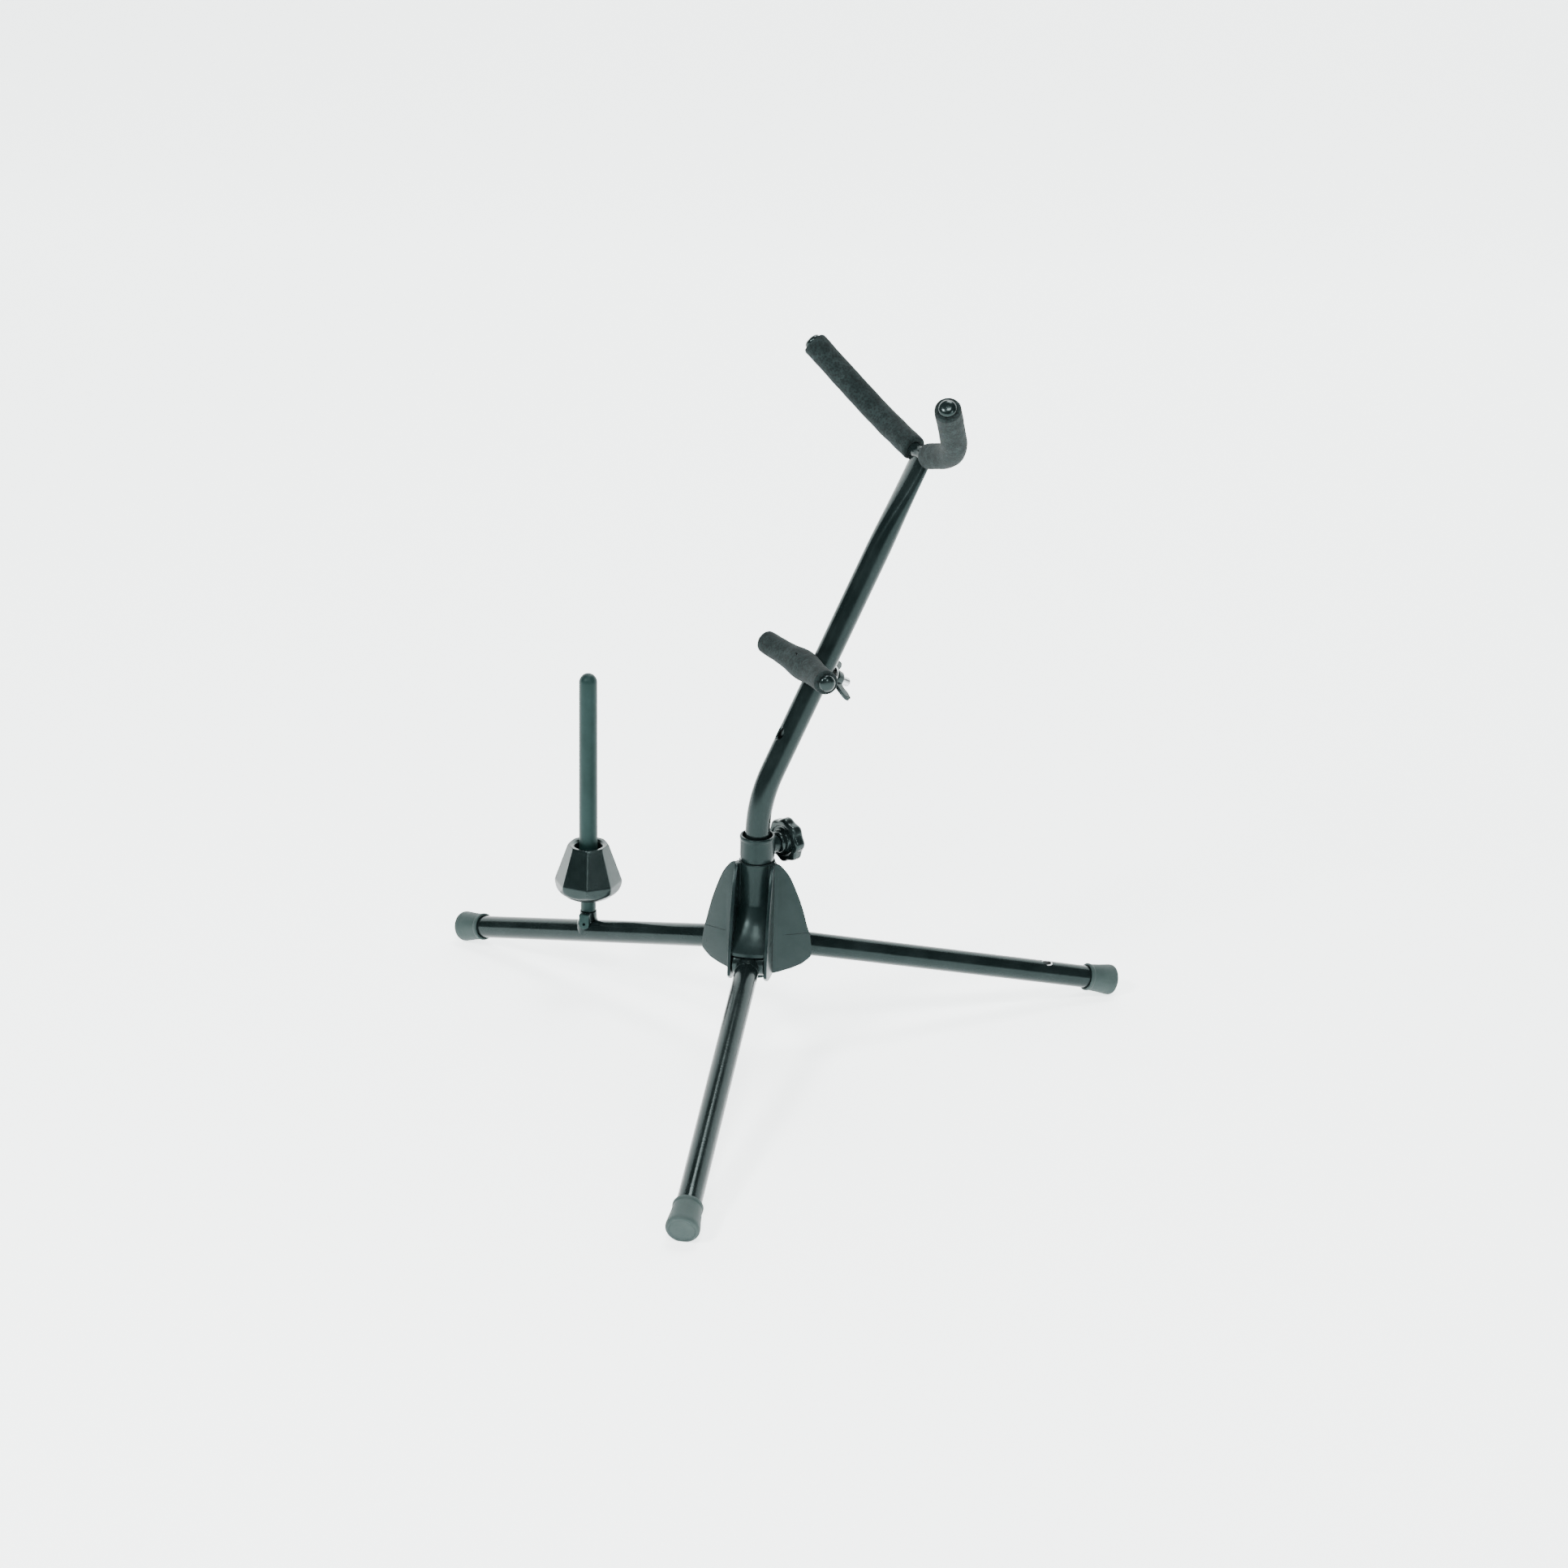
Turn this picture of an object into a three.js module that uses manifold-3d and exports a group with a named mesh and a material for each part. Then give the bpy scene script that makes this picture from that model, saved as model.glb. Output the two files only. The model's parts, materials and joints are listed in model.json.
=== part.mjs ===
// Folding saxophone stand: a three-legged base with a clamp collar, a leaning mast that carries
// a padded fork and a smaller padded yoke, and a clarinet peg that screws into one leg.
// Millimetres, +Z up. The front leg points along -Y.

import * as THREE from 'three';
import { mergeVertices } from 'three/addons/utils/BufferGeometryUtils.js';
import Module from 'manifold-3d';

const wasm = await Module();
wasm.setup();

// ---- Driving dimensions ------------------------------------------------------------------

const GAP = 0.3; // clearance kept between pieces that touch
const TUBE_SIDES = 24;
const SMALL_SIDES = 16;
const BEND_RINGS = 7;

// Plan of the base
const LEG_AZIMUTHS = { front: -90, right: 30, left: 150 };
const LEG_REACH = 275; // hub axis to the end of a foot
const LEG_SLOPE = 15; // fall of an open leg
const PIVOT_REACH = 26; // hub axis to a leg's pin
const HUB_AXIS_Y = 65.52; // the hub stands this far behind the middle of the footprint

// Legs
const LEG_RADIUS = 8;
const LEG_BORE = 6.8;
const LEG_TUBE_START = 11.5; // from the pin
const FOOT_RADIUS = 11;
const FOOT_MOUTH_RADIUS = 9.7;
const FOOT_LENGTH = 22;
const FOOT_FLOOR = 3; // thickness of the foot's closed end
const FOOT_WIDEST = 2.5; // from the end of the foot
const SOLE_DEPTH = 1; // height worn flat on the sole
const EYE_RADIUS = 8;
const EYE_WIDTH = 21.6;
const PIN_RADIUS = 2.5;
const PIN_LENGTH = 24.4; // the pins end inside the fins
const PIN_HOLE_LENGTH = 25.2;

// Hub
const CHANNEL_HALF_WIDTH = 11.2;
const FIN_THICKNESS = 2.2;
const HUB_BOTTOM = 60;
const HUB_TOP = 140;
const SOCKET_RADIUS = 13.6;
const SLEEVE_NECK_RADIUS = 12.1;
const BASE_TUBE_RADIUS = 10;
const BASE_TUBE_BORE = 8.85;
const BASE_TUBE_TOP = 144;
const HUB_SCREW_HEIGHT = 66.5;
const SCREW_HOLE_RADIUS = 2.1;

// Clamp collar and its knob
const COLLAR_RADIUS = 11.6;
const COLLAR_BOTTOM = 140.5;
const COLLAR_TOP = 158;
const CLAMP_HEIGHT = 147.8;
const CLAMP_AZIMUTH = 50;
const BOSS_RADIUS = 6.3;
const BOSS_REACH = 16.4;
const NUT_RADIUS = 4.4;
const SCREW_RADIUS = 3;
const KNOB_INNER = 21.3;
const KNOB_OUTER = 30.8;
const KNOB_RADIUS = 14.7;
const KNOB_LOBE_HEIGHT = 0.9;
const KNOB_LOBES = 8;

// Mast
const MAST_RADIUS = 8.25;
const MAST_BORE = 7;
const MAST_LEAN = 27; // from the vertical
const MAST_AZIMUTH = 35;
const MAST_BEND_HEIGHT = 182; // where the two straight lines of the mast cross
const MAST_BEND_TANGENT = 23;
const MAST_FOOT_HEIGHT = 74;
const FORK_DISTANCE = 253.4; // along the leaning part, from the bend point
const FLAT_START = 183;
const FLAT_DEPTH_SCALE = 0.58;
const FLAT_WIDTH_SCALE = 1.33;
const LINER_BOTTOM = 144.4;
const LINER_TOP = 153;
const SPARE_HOLE_DISTANCE = 48;
const SPARE_HOLE_RADIUS = 3.5;
const SPARE_HOLE_RIM = 5.6;

// Fork at the top of the mast. Across, up along the mast, and out in front of it
const PRONG_RADIUS = 4.75;
const FORK_BEND = { x: 51.5, y: 264.4, z: 9.8 };
const FORK_TIP = { x: 92.1, y: 289.5, z: 57.6 };
const FORK_BEND_TANGENT = 24;
const FORK_ROOT_TANGENT = 9;
const FORK_FOAM_START = 10;
const FORK_FOAM_RADIUS = 8.5;
const FOAM_BORE = 5.1;
const CAP_RADIUS = 5.9;
const CAP_HEIGHT = 3;
const CAP_SPIGOT = 2.3;

// Lower yoke
const YOKE_DISTANCE = 96.3;
const YOKE_STANDOFF = 14;
const YOKE_BEND = { x: 15, z: 15.3 };
const YOKE_TIP = { x: 44.5, z: 20.3 };
const YOKE_FOAM_RADIUS = 8;
const YOKE_FOAM_SWELL = 2.2; // extra foam radius over the head of the bolt
const YOKE_FOAM_BACK = 11; // the foam is flat here, against the mast
const YOKE_FOAM_FLAT_HALF = 14;
const BOLT_RADIUS = 3;
const BOLT_HEAD_RADIUS = 5;
const BOLT_END = -24;
const WING_SPAN = 17.5;
const WING_TURN = -30; // turn of the wings out of the yoke's line

// Clarinet peg
const PEG_REACH = 152; // from the hub axis, on the left leg
const PEG_SOCKET_TOP = 58;
const PEG_STUD_RADIUS = 3.9;
const PEG_STUD_BOTTOM = 46.5;
const PEG_STUD_TOP = 74;
const PEG_ROD_RADIUS = 6.5;
const PEG_STEM_RADIUS = 5.4;
const PEG_TOP = 236;
const CONE_BOTTOM = 68;
const CONE_TOP = 109;
const CONE_FACETS = 8;
const CONE_EDGE_AZIMUTH = -82; // an edge between two facets faces this way
const TAB_AZIMUTH = -99;
const TAB_WIDTH = 7.4;
const SPARE_SOCKET_REACH = 222; // from the hub axis, on the right leg
const SPARE_SOCKET_RADIUS = 4.6;
const SPARE_SOCKET_BORE = 3.4;

// ---- Sizes that follow -------------------------------------------------------------------

const radians = THREE.MathUtils.degToRad;
const slopeSine = Math.sin(radians(LEG_SLOPE));
const slopeCosine = Math.cos(radians(LEG_SLOPE));
const legLength = (LEG_REACH - PIVOT_REACH) / slopeCosine;
const pivotHeight = (legLength - FOOT_WIDEST) * slopeSine + FOOT_RADIUS * slopeCosine - SOLE_DEPTH;

// Height of an open leg's centre line at a distance from the hub axis
function legHeightAt(reach) {
  return pivotHeight - (reach - PIVOT_REACH) * Math.tan(radians(LEG_SLOPE));
}

// ---- Finishes ----------------------------------------------------------------------------

const finishes = {
  glossSteel: () => new THREE.MeshStandardMaterial({ color: 0x111615, roughness: 0.25, metalness: 0.3 }),
  satinPlastic: () => new THREE.MeshStandardMaterial({ color: 0x3a4746, roughness: 0.5, metalness: 0 }),
  glossPlastic: () => new THREE.MeshStandardMaterial({ color: 0x151b1b, roughness: 0.2, metalness: 0 }),
  pegPlastic: () => new THREE.MeshStandardMaterial({ color: 0x42504f, roughness: 0.45, metalness: 0 }),
  rubber: () => new THREE.MeshStandardMaterial({ color: 0x4b5857, roughness: 0.75, metalness: 0 }),
  foam: () => new THREE.MeshStandardMaterial({ color: 0x242e2e, roughness: 0.95, metalness: 0 }),
  nylon: () => new THREE.MeshStandardMaterial({ color: 0x5d6665, roughness: 0.5, metalness: 0 }),
  zinc: () => new THREE.MeshStandardMaterial({ color: 0xa7adad, roughness: 0.35, metalness: 0.9 }),
  brass: () => new THREE.MeshStandardMaterial({ color: 0xb4923f, roughness: 0.35, metalness: 0.9 }),
};

// ---- Solids ------------------------------------------------------------------------------

const isDegenerate = (a, b, c) => a === b || b === c || c === a;

// A closed geometry as a solid that can be joined and cut
function toSolid(geometry) {
  const bare = geometry.clone();
  bare.deleteAttribute('normal');
  bare.deleteAttribute('uv');
  const merged = mergeVertices(bare, 1e-4);
  const corners = Array.from(merged.index.array);
  const kept = [];
  for (let i = 0; i < corners.length; i += 3) {
    const triangle = corners.slice(i, i + 3);
    if (!isDegenerate(...triangle)) kept.push(...triangle);
  }
  const mesh = new wasm.Mesh({
    numProp: 3,
    vertProperties: Float32Array.from(merged.attributes.position.array),
    triVerts: Uint32Array.from(kept),
  });
  return new wasm.Manifold(mesh);
}

function toGeometry(solid) {
  const mesh = solid.getMesh();
  const geometry = new THREE.BufferGeometry();
  geometry.setAttribute('position', new THREE.BufferAttribute(Float32Array.from(mesh.vertProperties), 3));
  geometry.setIndex(new THREE.BufferAttribute(Uint32Array.from(mesh.triVerts), 1));
  geometry.computeVertexNormals();
  return geometry;
}

function joined(...geometries) {
  return toGeometry(geometries.map(toSolid).reduce((whole, next) => whole.add(next)));
}

function cut(geometry, ...tools) {
  return toGeometry(tools.map(toSolid).reduce((rest, tool) => rest.subtract(tool), toSolid(geometry)));
}

function shared(geometry, other) {
  return toGeometry(toSolid(geometry).intersect(toSolid(other)));
}

// A solid of revolution about Z from [radius, height] points, listed anticlockwise
function turned(profile, sides = TUBE_SIDES) {
  const points = profile.map(([radius, height]) => new THREE.Vector2(radius, height));
  return new THREE.LatheGeometry(points, sides).rotateX(Math.PI / 2);
}

function rod(radius, from, to, sides = SMALL_SIDES) {
  return turned([[0, from], [radius, from], [radius, to], [0, to]], sides);
}

function pipe(radius, bore, from, to, sides = TUBE_SIDES) {
  return turned([[bore, from], [radius, from], [radius, to], [bore, to], [bore, from]], sides);
}

const alongX = (geometry) => geometry.rotateY(Math.PI / 2);
const alongY = (geometry) => geometry.rotateX(-Math.PI / 2);

// A standing plate in the XZ plane, with its thickness centred on Y
function standingPlate(shape, thickness) {
  const options = { depth: thickness, bevelEnabled: false, curveSegments: 6 };
  const geometry = new THREE.ExtrudeGeometry(shape, options);
  return geometry.rotateX(Math.PI / 2).translate(0, thickness / 2, 0);
}

function ringShape(radius, bore) {
  const shape = new THREE.Shape().absarc(0, 0, radius, 0, 2 * Math.PI);
  if (bore > 0) shape.holes.push(new THREE.Path().absarc(0, 0, bore, 0, 2 * Math.PI, true));
  return shape;
}

// A path through corner points, rounded at each inner corner over a tangent length
function roundedPath(points, tangents) {
  const path = new THREE.CurvePath();
  let start = points[0];
  for (let i = 1; i < points.length - 1; i += 1) {
    const corner = points[i];
    const into = corner.clone().sub(points[i - 1]).setLength(tangents[i - 1]);
    const out = points[i + 1].clone().sub(corner).setLength(tangents[i - 1]);
    const before = corner.clone().sub(into);
    const after = corner.clone().add(out);
    path.add(new THREE.LineCurve3(start, before));
    path.add(new THREE.QuadraticBezierCurve3(before, corner, after));
    start = after;
  }
  path.add(new THREE.LineCurve3(start, points[points.length - 1]));
  return path;
}

// Distances along a path where a bar needs a ring of corners: few on lines, more on bends
function ringDistances(path, from = 0, to = path.getLength()) {
  const ends = path.getCurveLengths();
  const marks = [];
  path.curves.forEach((curve, index) => {
    const start = index === 0 ? 0 : ends[index - 1];
    const pieces = curve.isLineCurve3 ? 1 : BEND_RINGS;
    for (let i = 1; i <= pieces; i += 1) marks.push(THREE.MathUtils.lerp(start, ends[index], i / pieces));
  });
  return [from, ...marks.filter((mark) => mark > from + 1 && mark < to - 1), to];
}

// A path followed from ring to ring
class Rings extends THREE.Curve {
  constructor(path, distances) {
    super();
    this.path = path;
    this.distances = distances;
  }

  share(u) {
    const place = u * (this.distances.length - 1);
    const index = Math.min(Math.floor(place), this.distances.length - 2);
    const distance = THREE.MathUtils.lerp(this.distances[index], this.distances[index + 1], place - index);
    return THREE.MathUtils.clamp(distance / this.path.getLength(), 0, 1);
  }

  getPointAt(u, target = new THREE.Vector3()) {
    return target.copy(this.path.getPointAt(this.share(u)));
  }

  getTangentAt(u, target = new THREE.Vector3()) {
    return target.copy(this.path.getTangentAt(this.share(u)));
  }
}

// A round bar or a pipe along a path
function bent(path, radius, bore, distances = ringDistances(path), sides = SMALL_SIDES) {
  return new THREE.ExtrudeGeometry(ringShape(radius, bore), {
    extrudePath: new Rings(path, distances),
    steps: distances.length - 1,
    curveSegments: sides / 2,
    bevelEnabled: false,
  });
}

function named(name, geometry, material) {
  const mesh = new THREE.Mesh(toGeometry(toSolid(geometry)), material);
  mesh.name = name;
  return mesh;
}

function group(...children) {
  return new THREE.Group().add(...children);
}

// ---- Hub ---------------------------------------------------------------------------------

// Side view of a fin: bell-shaped outer edge, flat foot
function finShape() {
  const inner = 6.2;
  const edge = [
    [11.5, 139.7], [17.3, 132.5], [20.6, 126.5], [24.2, 118], [27.4, 109.4],
    [29.9, 101.4], [32, 93.4], [33.9, 87], [35.8, 76],
  ];
  const shape = new THREE.Shape();
  shape.moveTo(inner, HUB_BOTTOM);
  shape.lineTo(12, HUB_BOTTOM + 0.5);
  shape.quadraticCurveTo(28, HUB_BOTTOM + 1.5, 36, HUB_BOTTOM + 8.5);
  edge.reverse().forEach(([reach, height]) => shape.lineTo(reach, height));
  shape.lineTo(7, HUB_TOP);
  shape.lineTo(inner, HUB_TOP);
  shape.closePath();
  return shape;
}

// The sloping hood that covers the roots of the legs, before it is trimmed to the channels
function hoodSkirt() {
  return turned([
    [10.3, 100], [13.6, 103], [18, 97.6], [25, 89.6], [34.6, 82.8], [34.8, 84.8],
    [25, 93], [18, 101], [13.6, 108.6], [10.3, 114], [10.3, 100],
  ], TUBE_SIDES);
}

// The sleeve around the base tube, narrowing towards the collar
function hubSleeve() {
  const bore = BASE_TUBE_RADIUS + GAP;
  return turned([
    [bore, HUB_BOTTOM], [SOCKET_RADIUS, HUB_BOTTOM], [SOCKET_RADIUS, 108], [SLEEVE_NECK_RADIUS, 126],
    [SLEEVE_NECK_RADIUS, HUB_TOP], [bore, HUB_TOP], [bore, HUB_BOTTOM],
  ], TUBE_SIDES);
}

function armBox() {
  const length = 60;
  const width = 2 * CHANNEL_HALF_WIDTH + FIN_THICKNESS;
  return new THREE.BoxGeometry(length, width, 80).translate(length / 2, 0, HUB_BOTTOM + 40);
}

// Turns a shape made along Z so that it points backwards at the height of the hub screw
function atBack(shape) {
  return alongX(shape).translate(0, 0, HUB_SCREW_HEIGHT).rotateZ(Math.PI / 2);
}

function hubBody() {
  const arms = Object.values(LEG_AZIMUTHS).map(radians);
  const finOffset = CHANNEL_HALF_WIDTH + FIN_THICKNESS / 2;
  const fins = arms.flatMap((azimuth) => [-finOffset, finOffset].map(
    (offset) => standingPlate(finShape(), FIN_THICKNESS).translate(0, offset, 0).rotateZ(azimuth),
  ));
  const boxes = arms.map((azimuth) => armBox().rotateZ(azimuth));
  const channels = joined(rod(SOCKET_RADIUS, HUB_BOTTOM, HUB_TOP), ...boxes);
  const hoods = shared(hoodSkirt(), channels);
  const pinHole = () => alongY(rod(PIN_RADIUS + GAP, -PIN_HOLE_LENGTH / 2, PIN_HOLE_LENGTH / 2))
    .translate(PIVOT_REACH, 0, pivotHeight);
  const pinHoles = arms.map((azimuth) => pinHole().rotateZ(azimuth));
  const clearance = rod(BASE_TUBE_RADIUS + GAP, HUB_BOTTOM - 1, HUB_TOP + 1, TUBE_SIDES);
  const screwHole = atBack(joined(rod(SCREW_HOLE_RADIUS, 5, 16.2), rod(3.7, 15.6, 26)));
  return cut(joined(hubSleeve(), hoods, ...fins), clearance, screwHole, ...pinHoles);
}

function baseTube() {
  const tube = pipe(BASE_TUBE_RADIUS, BASE_TUBE_BORE, HUB_BOTTOM + GAP, BASE_TUBE_TOP);
  const screwHole = atBack(rod(SCREW_HOLE_RADIUS, 5, 14));
  return cut(tube, screwHole);
}

function basePlug() {
  const flange = 12.4;
  const spigot = BASE_TUBE_BORE - GAP;
  return turned([
    [0, 57.4], [flange - 0.8, 57.4], [flange, 58.2], [flange, HUB_BOTTOM - GAP],
    [spigot, HUB_BOTTOM - GAP], [spigot, 63.8], [0, 63.8],
  ]);
}

function hubScrew() {
  const profile = [[0, 9.1], [1.8, 9.1], [1.8, 16], [3.3, 16], [3.3, 17.2], [2.2, 18], [0, 18]];
  const screw = turned(profile, SMALL_SIDES);
  return atBack(screw);
}

function hub() {
  return group(
    named('hub_body', hubBody(), finishes.satinPlastic()),
    named('base_tube', baseTube(), finishes.glossSteel()),
    named('base_plug', basePlug(), finishes.satinPlastic()),
    named('hub_screw', hubScrew(), finishes.zinc()),
  );
}

// ---- Legs, in a frame with +X out along the leg from its pin --------------------------------

function legTube(socketDistance) {
  const tube = alongX(pipe(LEG_RADIUS, LEG_BORE, LEG_TUBE_START, legLength - FOOT_FLOOR - GAP));
  if (!socketDistance) return tube;
  const drill = rod(SPARE_SOCKET_RADIUS, 0, 30)
    .rotateY(-radians(LEG_SLOPE))
    .translate(socketDistance, 0, 0);
  return cut(tube, drill);
}

function legKnuckle() {
  const eye = alongY(rod(EYE_RADIUS, -EYE_WIDTH / 2, EYE_WIDTH / 2, TUBE_SIDES));
  const shoulder = alongX(rod(LEG_RADIUS, 0, LEG_TUBE_START - GAP, TUBE_SIDES));
  const spigot = alongX(rod(LEG_BORE - GAP, 0, 34, TUBE_SIDES));
  const pinHole = alongY(rod(PIN_RADIUS + GAP, -20, 20));
  return cut(joined(eye, shoulder, spigot), pinHole);
}

function foot() {
  const end = legLength;
  const mouth = end - FOOT_LENGTH;
  const bore = LEG_RADIUS + GAP;
  const cup = turned([
    [bore, mouth], [FOOT_MOUTH_RADIUS, mouth],
    [FOOT_MOUTH_RADIUS, mouth + 1.6], [FOOT_MOUTH_RADIUS - 0.4, mouth + 2.4],
    [9.9, mouth + 10], [FOOT_RADIUS, end - FOOT_WIDEST],
    [FOOT_RADIUS - 0.5, end - 0.9], [9.4, end - 0.2], [0, end],
    [0, end - FOOT_FLOOR], [bore, end - FOOT_FLOOR], [bore, mouth],
  ]);
  const floorDepth = 20;
  const floor = new THREE.BoxGeometry(80, 80, floorDepth)
    .translate(LEG_REACH - PIVOT_REACH, 0, -pivotHeight - floorDepth / 2)
    .rotateY(-radians(LEG_SLOPE));
  return cut(alongX(cup), floor);
}

function legPin() {
  return alongY(turned([
    [0, -PIN_LENGTH / 2], [PIN_RADIUS - 0.4, -PIN_LENGTH / 2], [PIN_RADIUS, -PIN_LENGTH / 2 + 0.4],
    [PIN_RADIUS, PIN_LENGTH / 2 - 0.4], [PIN_RADIUS - 0.4, PIN_LENGTH / 2], [0, PIN_LENGTH / 2],
  ], SMALL_SIDES));
}

// Distance along a leg from its pin to a point at a distance from the hub axis
function alongLeg(reach) {
  return (reach - PIVOT_REACH) / slopeCosine;
}

const socketReaches = { left: PEG_REACH, right: SPARE_SOCKET_REACH };

function leg(side) {
  const reach = socketReaches[side];
  const sloping = group(
    named(`${side}_leg_tube`, legTube(reach ? alongLeg(reach) : 0), finishes.glossSteel()),
    named(`${side}_leg_knuckle`, legKnuckle(), finishes.glossPlastic()),
    named(`${side}_leg_pin`, legPin(), finishes.zinc()),
    named(`${side}_foot`, foot(), finishes.rubber()),
  );
  sloping.position.set(PIVOT_REACH, 0, pivotHeight);
  sloping.rotation.y = radians(LEG_SLOPE);
  const arm = group(sloping);
  if (side === 'left') arm.add(peg());
  if (side === 'right') arm.add(spareSocket());
  arm.rotation.z = radians(LEG_AZIMUTHS[side]);
  return arm;
}

// ---- Peg, upright on the left leg -----------------------------------------------------------

function pegSocket() {
  const bottom = legHeightAt(PEG_REACH);
  const boss = turned([
    [PEG_STUD_RADIUS + GAP, bottom], [7.9, bottom], [7.9, bottom + 6.5], [6.6, bottom + 10.5],
    [6, PEG_SOCKET_TOP], [PEG_STUD_RADIUS + GAP, PEG_SOCKET_TOP], [PEG_STUD_RADIUS + GAP, bottom],
  ]);
  const saddle = alongX(rod(LEG_RADIUS + GAP, -40, 40, TUBE_SIDES))
    .rotateY(radians(LEG_SLOPE))
    .translate(0, 0, bottom);
  return cut(boss, saddle);
}

function pegRod() {
  const crown = PEG_TOP - PEG_ROD_RADIUS;
  const dome = [0, 22.5, 45, 67.5].map(radians).map(
    (angle) => [0.95 * PEG_ROD_RADIUS * Math.cos(angle), crown + PEG_ROD_RADIUS * Math.sin(angle)],
  );
  const bore = PEG_STUD_RADIUS + GAP;
  return turned([
    [bore, PEG_SOCKET_TOP + GAP], [PEG_STEM_RADIUS, PEG_SOCKET_TOP + GAP],
    [PEG_STEM_RADIUS, CONE_BOTTOM + 2],
    [PEG_ROD_RADIUS, CONE_BOTTOM + 4], ...dome, [0, PEG_TOP],
    [0, PEG_STUD_TOP + GAP], [bore, PEG_STUD_TOP + GAP], [bore, PEG_SOCKET_TOP + GAP],
  ]);
}

function pegCone() {
  const bore = PEG_ROD_RADIUS + GAP;
  const recess = 9;
  const body = turned([
    [bore, CONE_BOTTOM + 5], [bore, CONE_BOTTOM], [9, CONE_BOTTOM], [16.5, CONE_BOTTOM + 3.2],
    [22, CONE_BOTTOM + 8.5], [23.7, CONE_BOTTOM + 13.5], [23.5, CONE_BOTTOM + 16], [15.4, CONE_TOP - 3],
    [14, CONE_TOP - 0.8], [12.6, CONE_TOP], [recess + 1, CONE_TOP - 0.6], [recess, CONE_TOP - 2.4],
    [recess, CONE_TOP - 7], [bore, CONE_TOP - 7], [bore, CONE_BOTTOM + 5],
  ]);
  const slant = [[0, CONE_BOTTOM - 2], [29.4, CONE_BOTTOM - 2], [14, CONE_TOP + 1], [0, CONE_TOP + 1]];
  const facets = turned(slant, CONE_FACETS);
  return shared(body, facets.rotateZ(radians(CONE_EDGE_AZIMUTH - LEG_AZIMUTHS.left) + Math.PI / 2));
}

// Small tab on the front of the socket, hanging beside the leg
function pegTab() {
  const half = TAB_WIDTH / 2;
  const shape = new THREE.Shape();
  shape.moveTo(-half, PEG_SOCKET_TOP);
  shape.lineTo(-half, 49.6);
  shape.quadraticCurveTo(-half, 46.8, 0, 46.8);
  shape.quadraticCurveTo(half, 46.8, half, 49.6);
  shape.lineTo(half, PEG_SOCKET_TOP);
  shape.closePath();
  shape.holes.push(new THREE.Path().absarc(0, 50.4, 1.1, 0, 2 * Math.PI, true));
  const plate = standingPlate(shape, 3).translate(0, -7.6, 0);
  const axisHeight = legHeightAt(PEG_REACH);
  const boss = turned([
    [0, axisHeight], [8.2, axisHeight], [8.2, axisHeight + 6.7], [6.9, axisHeight + 10.7],
    [6.3, PEG_SOCKET_TOP + 1], [0, PEG_SOCKET_TOP + 1],
  ]);
  const turn = radians(TAB_AZIMUTH - LEG_AZIMUTHS.left + 90);
  const legClearance = alongX(rod(LEG_RADIUS + GAP, -40, 40, TUBE_SIDES))
    .rotateY(radians(LEG_SLOPE))
    .translate(0, 0, axisHeight);
  return cut(plate.rotateZ(turn), boss, legClearance);
}

function peg() {
  const upright = group(
    named('peg_socket', pegSocket(), finishes.glossSteel()),
    named('peg_tab', pegTab(), finishes.pegPlastic()),
    named('peg_stud', rod(PEG_STUD_RADIUS, PEG_STUD_BOTTOM, PEG_STUD_TOP), finishes.zinc()),
    named('peg_rod', pegRod(), finishes.pegPlastic()),
    named('peg_cone', pegCone(), finishes.glossPlastic()),
  );
  upright.position.x = PEG_REACH;
  return upright;
}

function spareSocket() {
  const axisHeight = legHeightAt(SPARE_SOCKET_REACH);
  const top = axisHeight + LEG_RADIUS - 0.9;
  const insert = pipe(SPARE_SOCKET_RADIUS - GAP, SPARE_SOCKET_BORE, axisHeight - 2, top, SMALL_SIDES);
  const mesh = named('spare_socket_insert', insert, finishes.zinc());
  mesh.position.x = SPARE_SOCKET_REACH;
  return mesh;
}

// ---- Clamp, along +X from the hub axis --------------------------------------------------------

function clampCollar() {
  const ring = turned([
    [0, COLLAR_BOTTOM], [COLLAR_RADIUS - 0.6, COLLAR_BOTTOM], [COLLAR_RADIUS, COLLAR_BOTTOM + 0.8],
    [COLLAR_RADIUS, COLLAR_TOP - 0.8], [COLLAR_RADIUS - 0.5, COLLAR_TOP], [0, COLLAR_TOP],
  ], 32);
  const boss = alongX(rod(BOSS_RADIUS, 0, BOSS_REACH, TUBE_SIDES)).translate(0, 0, CLAMP_HEIGHT);
  const bore = rod(BASE_TUBE_RADIUS + GAP, COLLAR_BOTTOM - 1, COLLAR_TOP + 1, TUBE_SIDES);
  const nutPocket = alongX(rod(NUT_RADIUS + GAP, 11.4, 30)).translate(0, 0, CLAMP_HEIGHT);
  const screwHole = alongX(rod(SCREW_RADIUS + GAP, 0, 30)).translate(0, 0, CLAMP_HEIGHT);
  return cut(joined(ring, boss), bore, nutPocket, screwHole);
}

function knobShape() {
  const shape = new THREE.Shape();
  const points = 64;
  for (let i = 0; i < points; i += 1) {
    const angle = (2 * Math.PI * i) / points;
    const radius = KNOB_RADIUS + KNOB_LOBE_HEIGHT * Math.cos(KNOB_LOBES * angle);
    const place = [radius * Math.cos(angle), radius * Math.sin(angle)];
    if (i === 0) shape.moveTo(...place);
    else shape.lineTo(...place);
  }
  shape.closePath();
  return shape;
}

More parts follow.
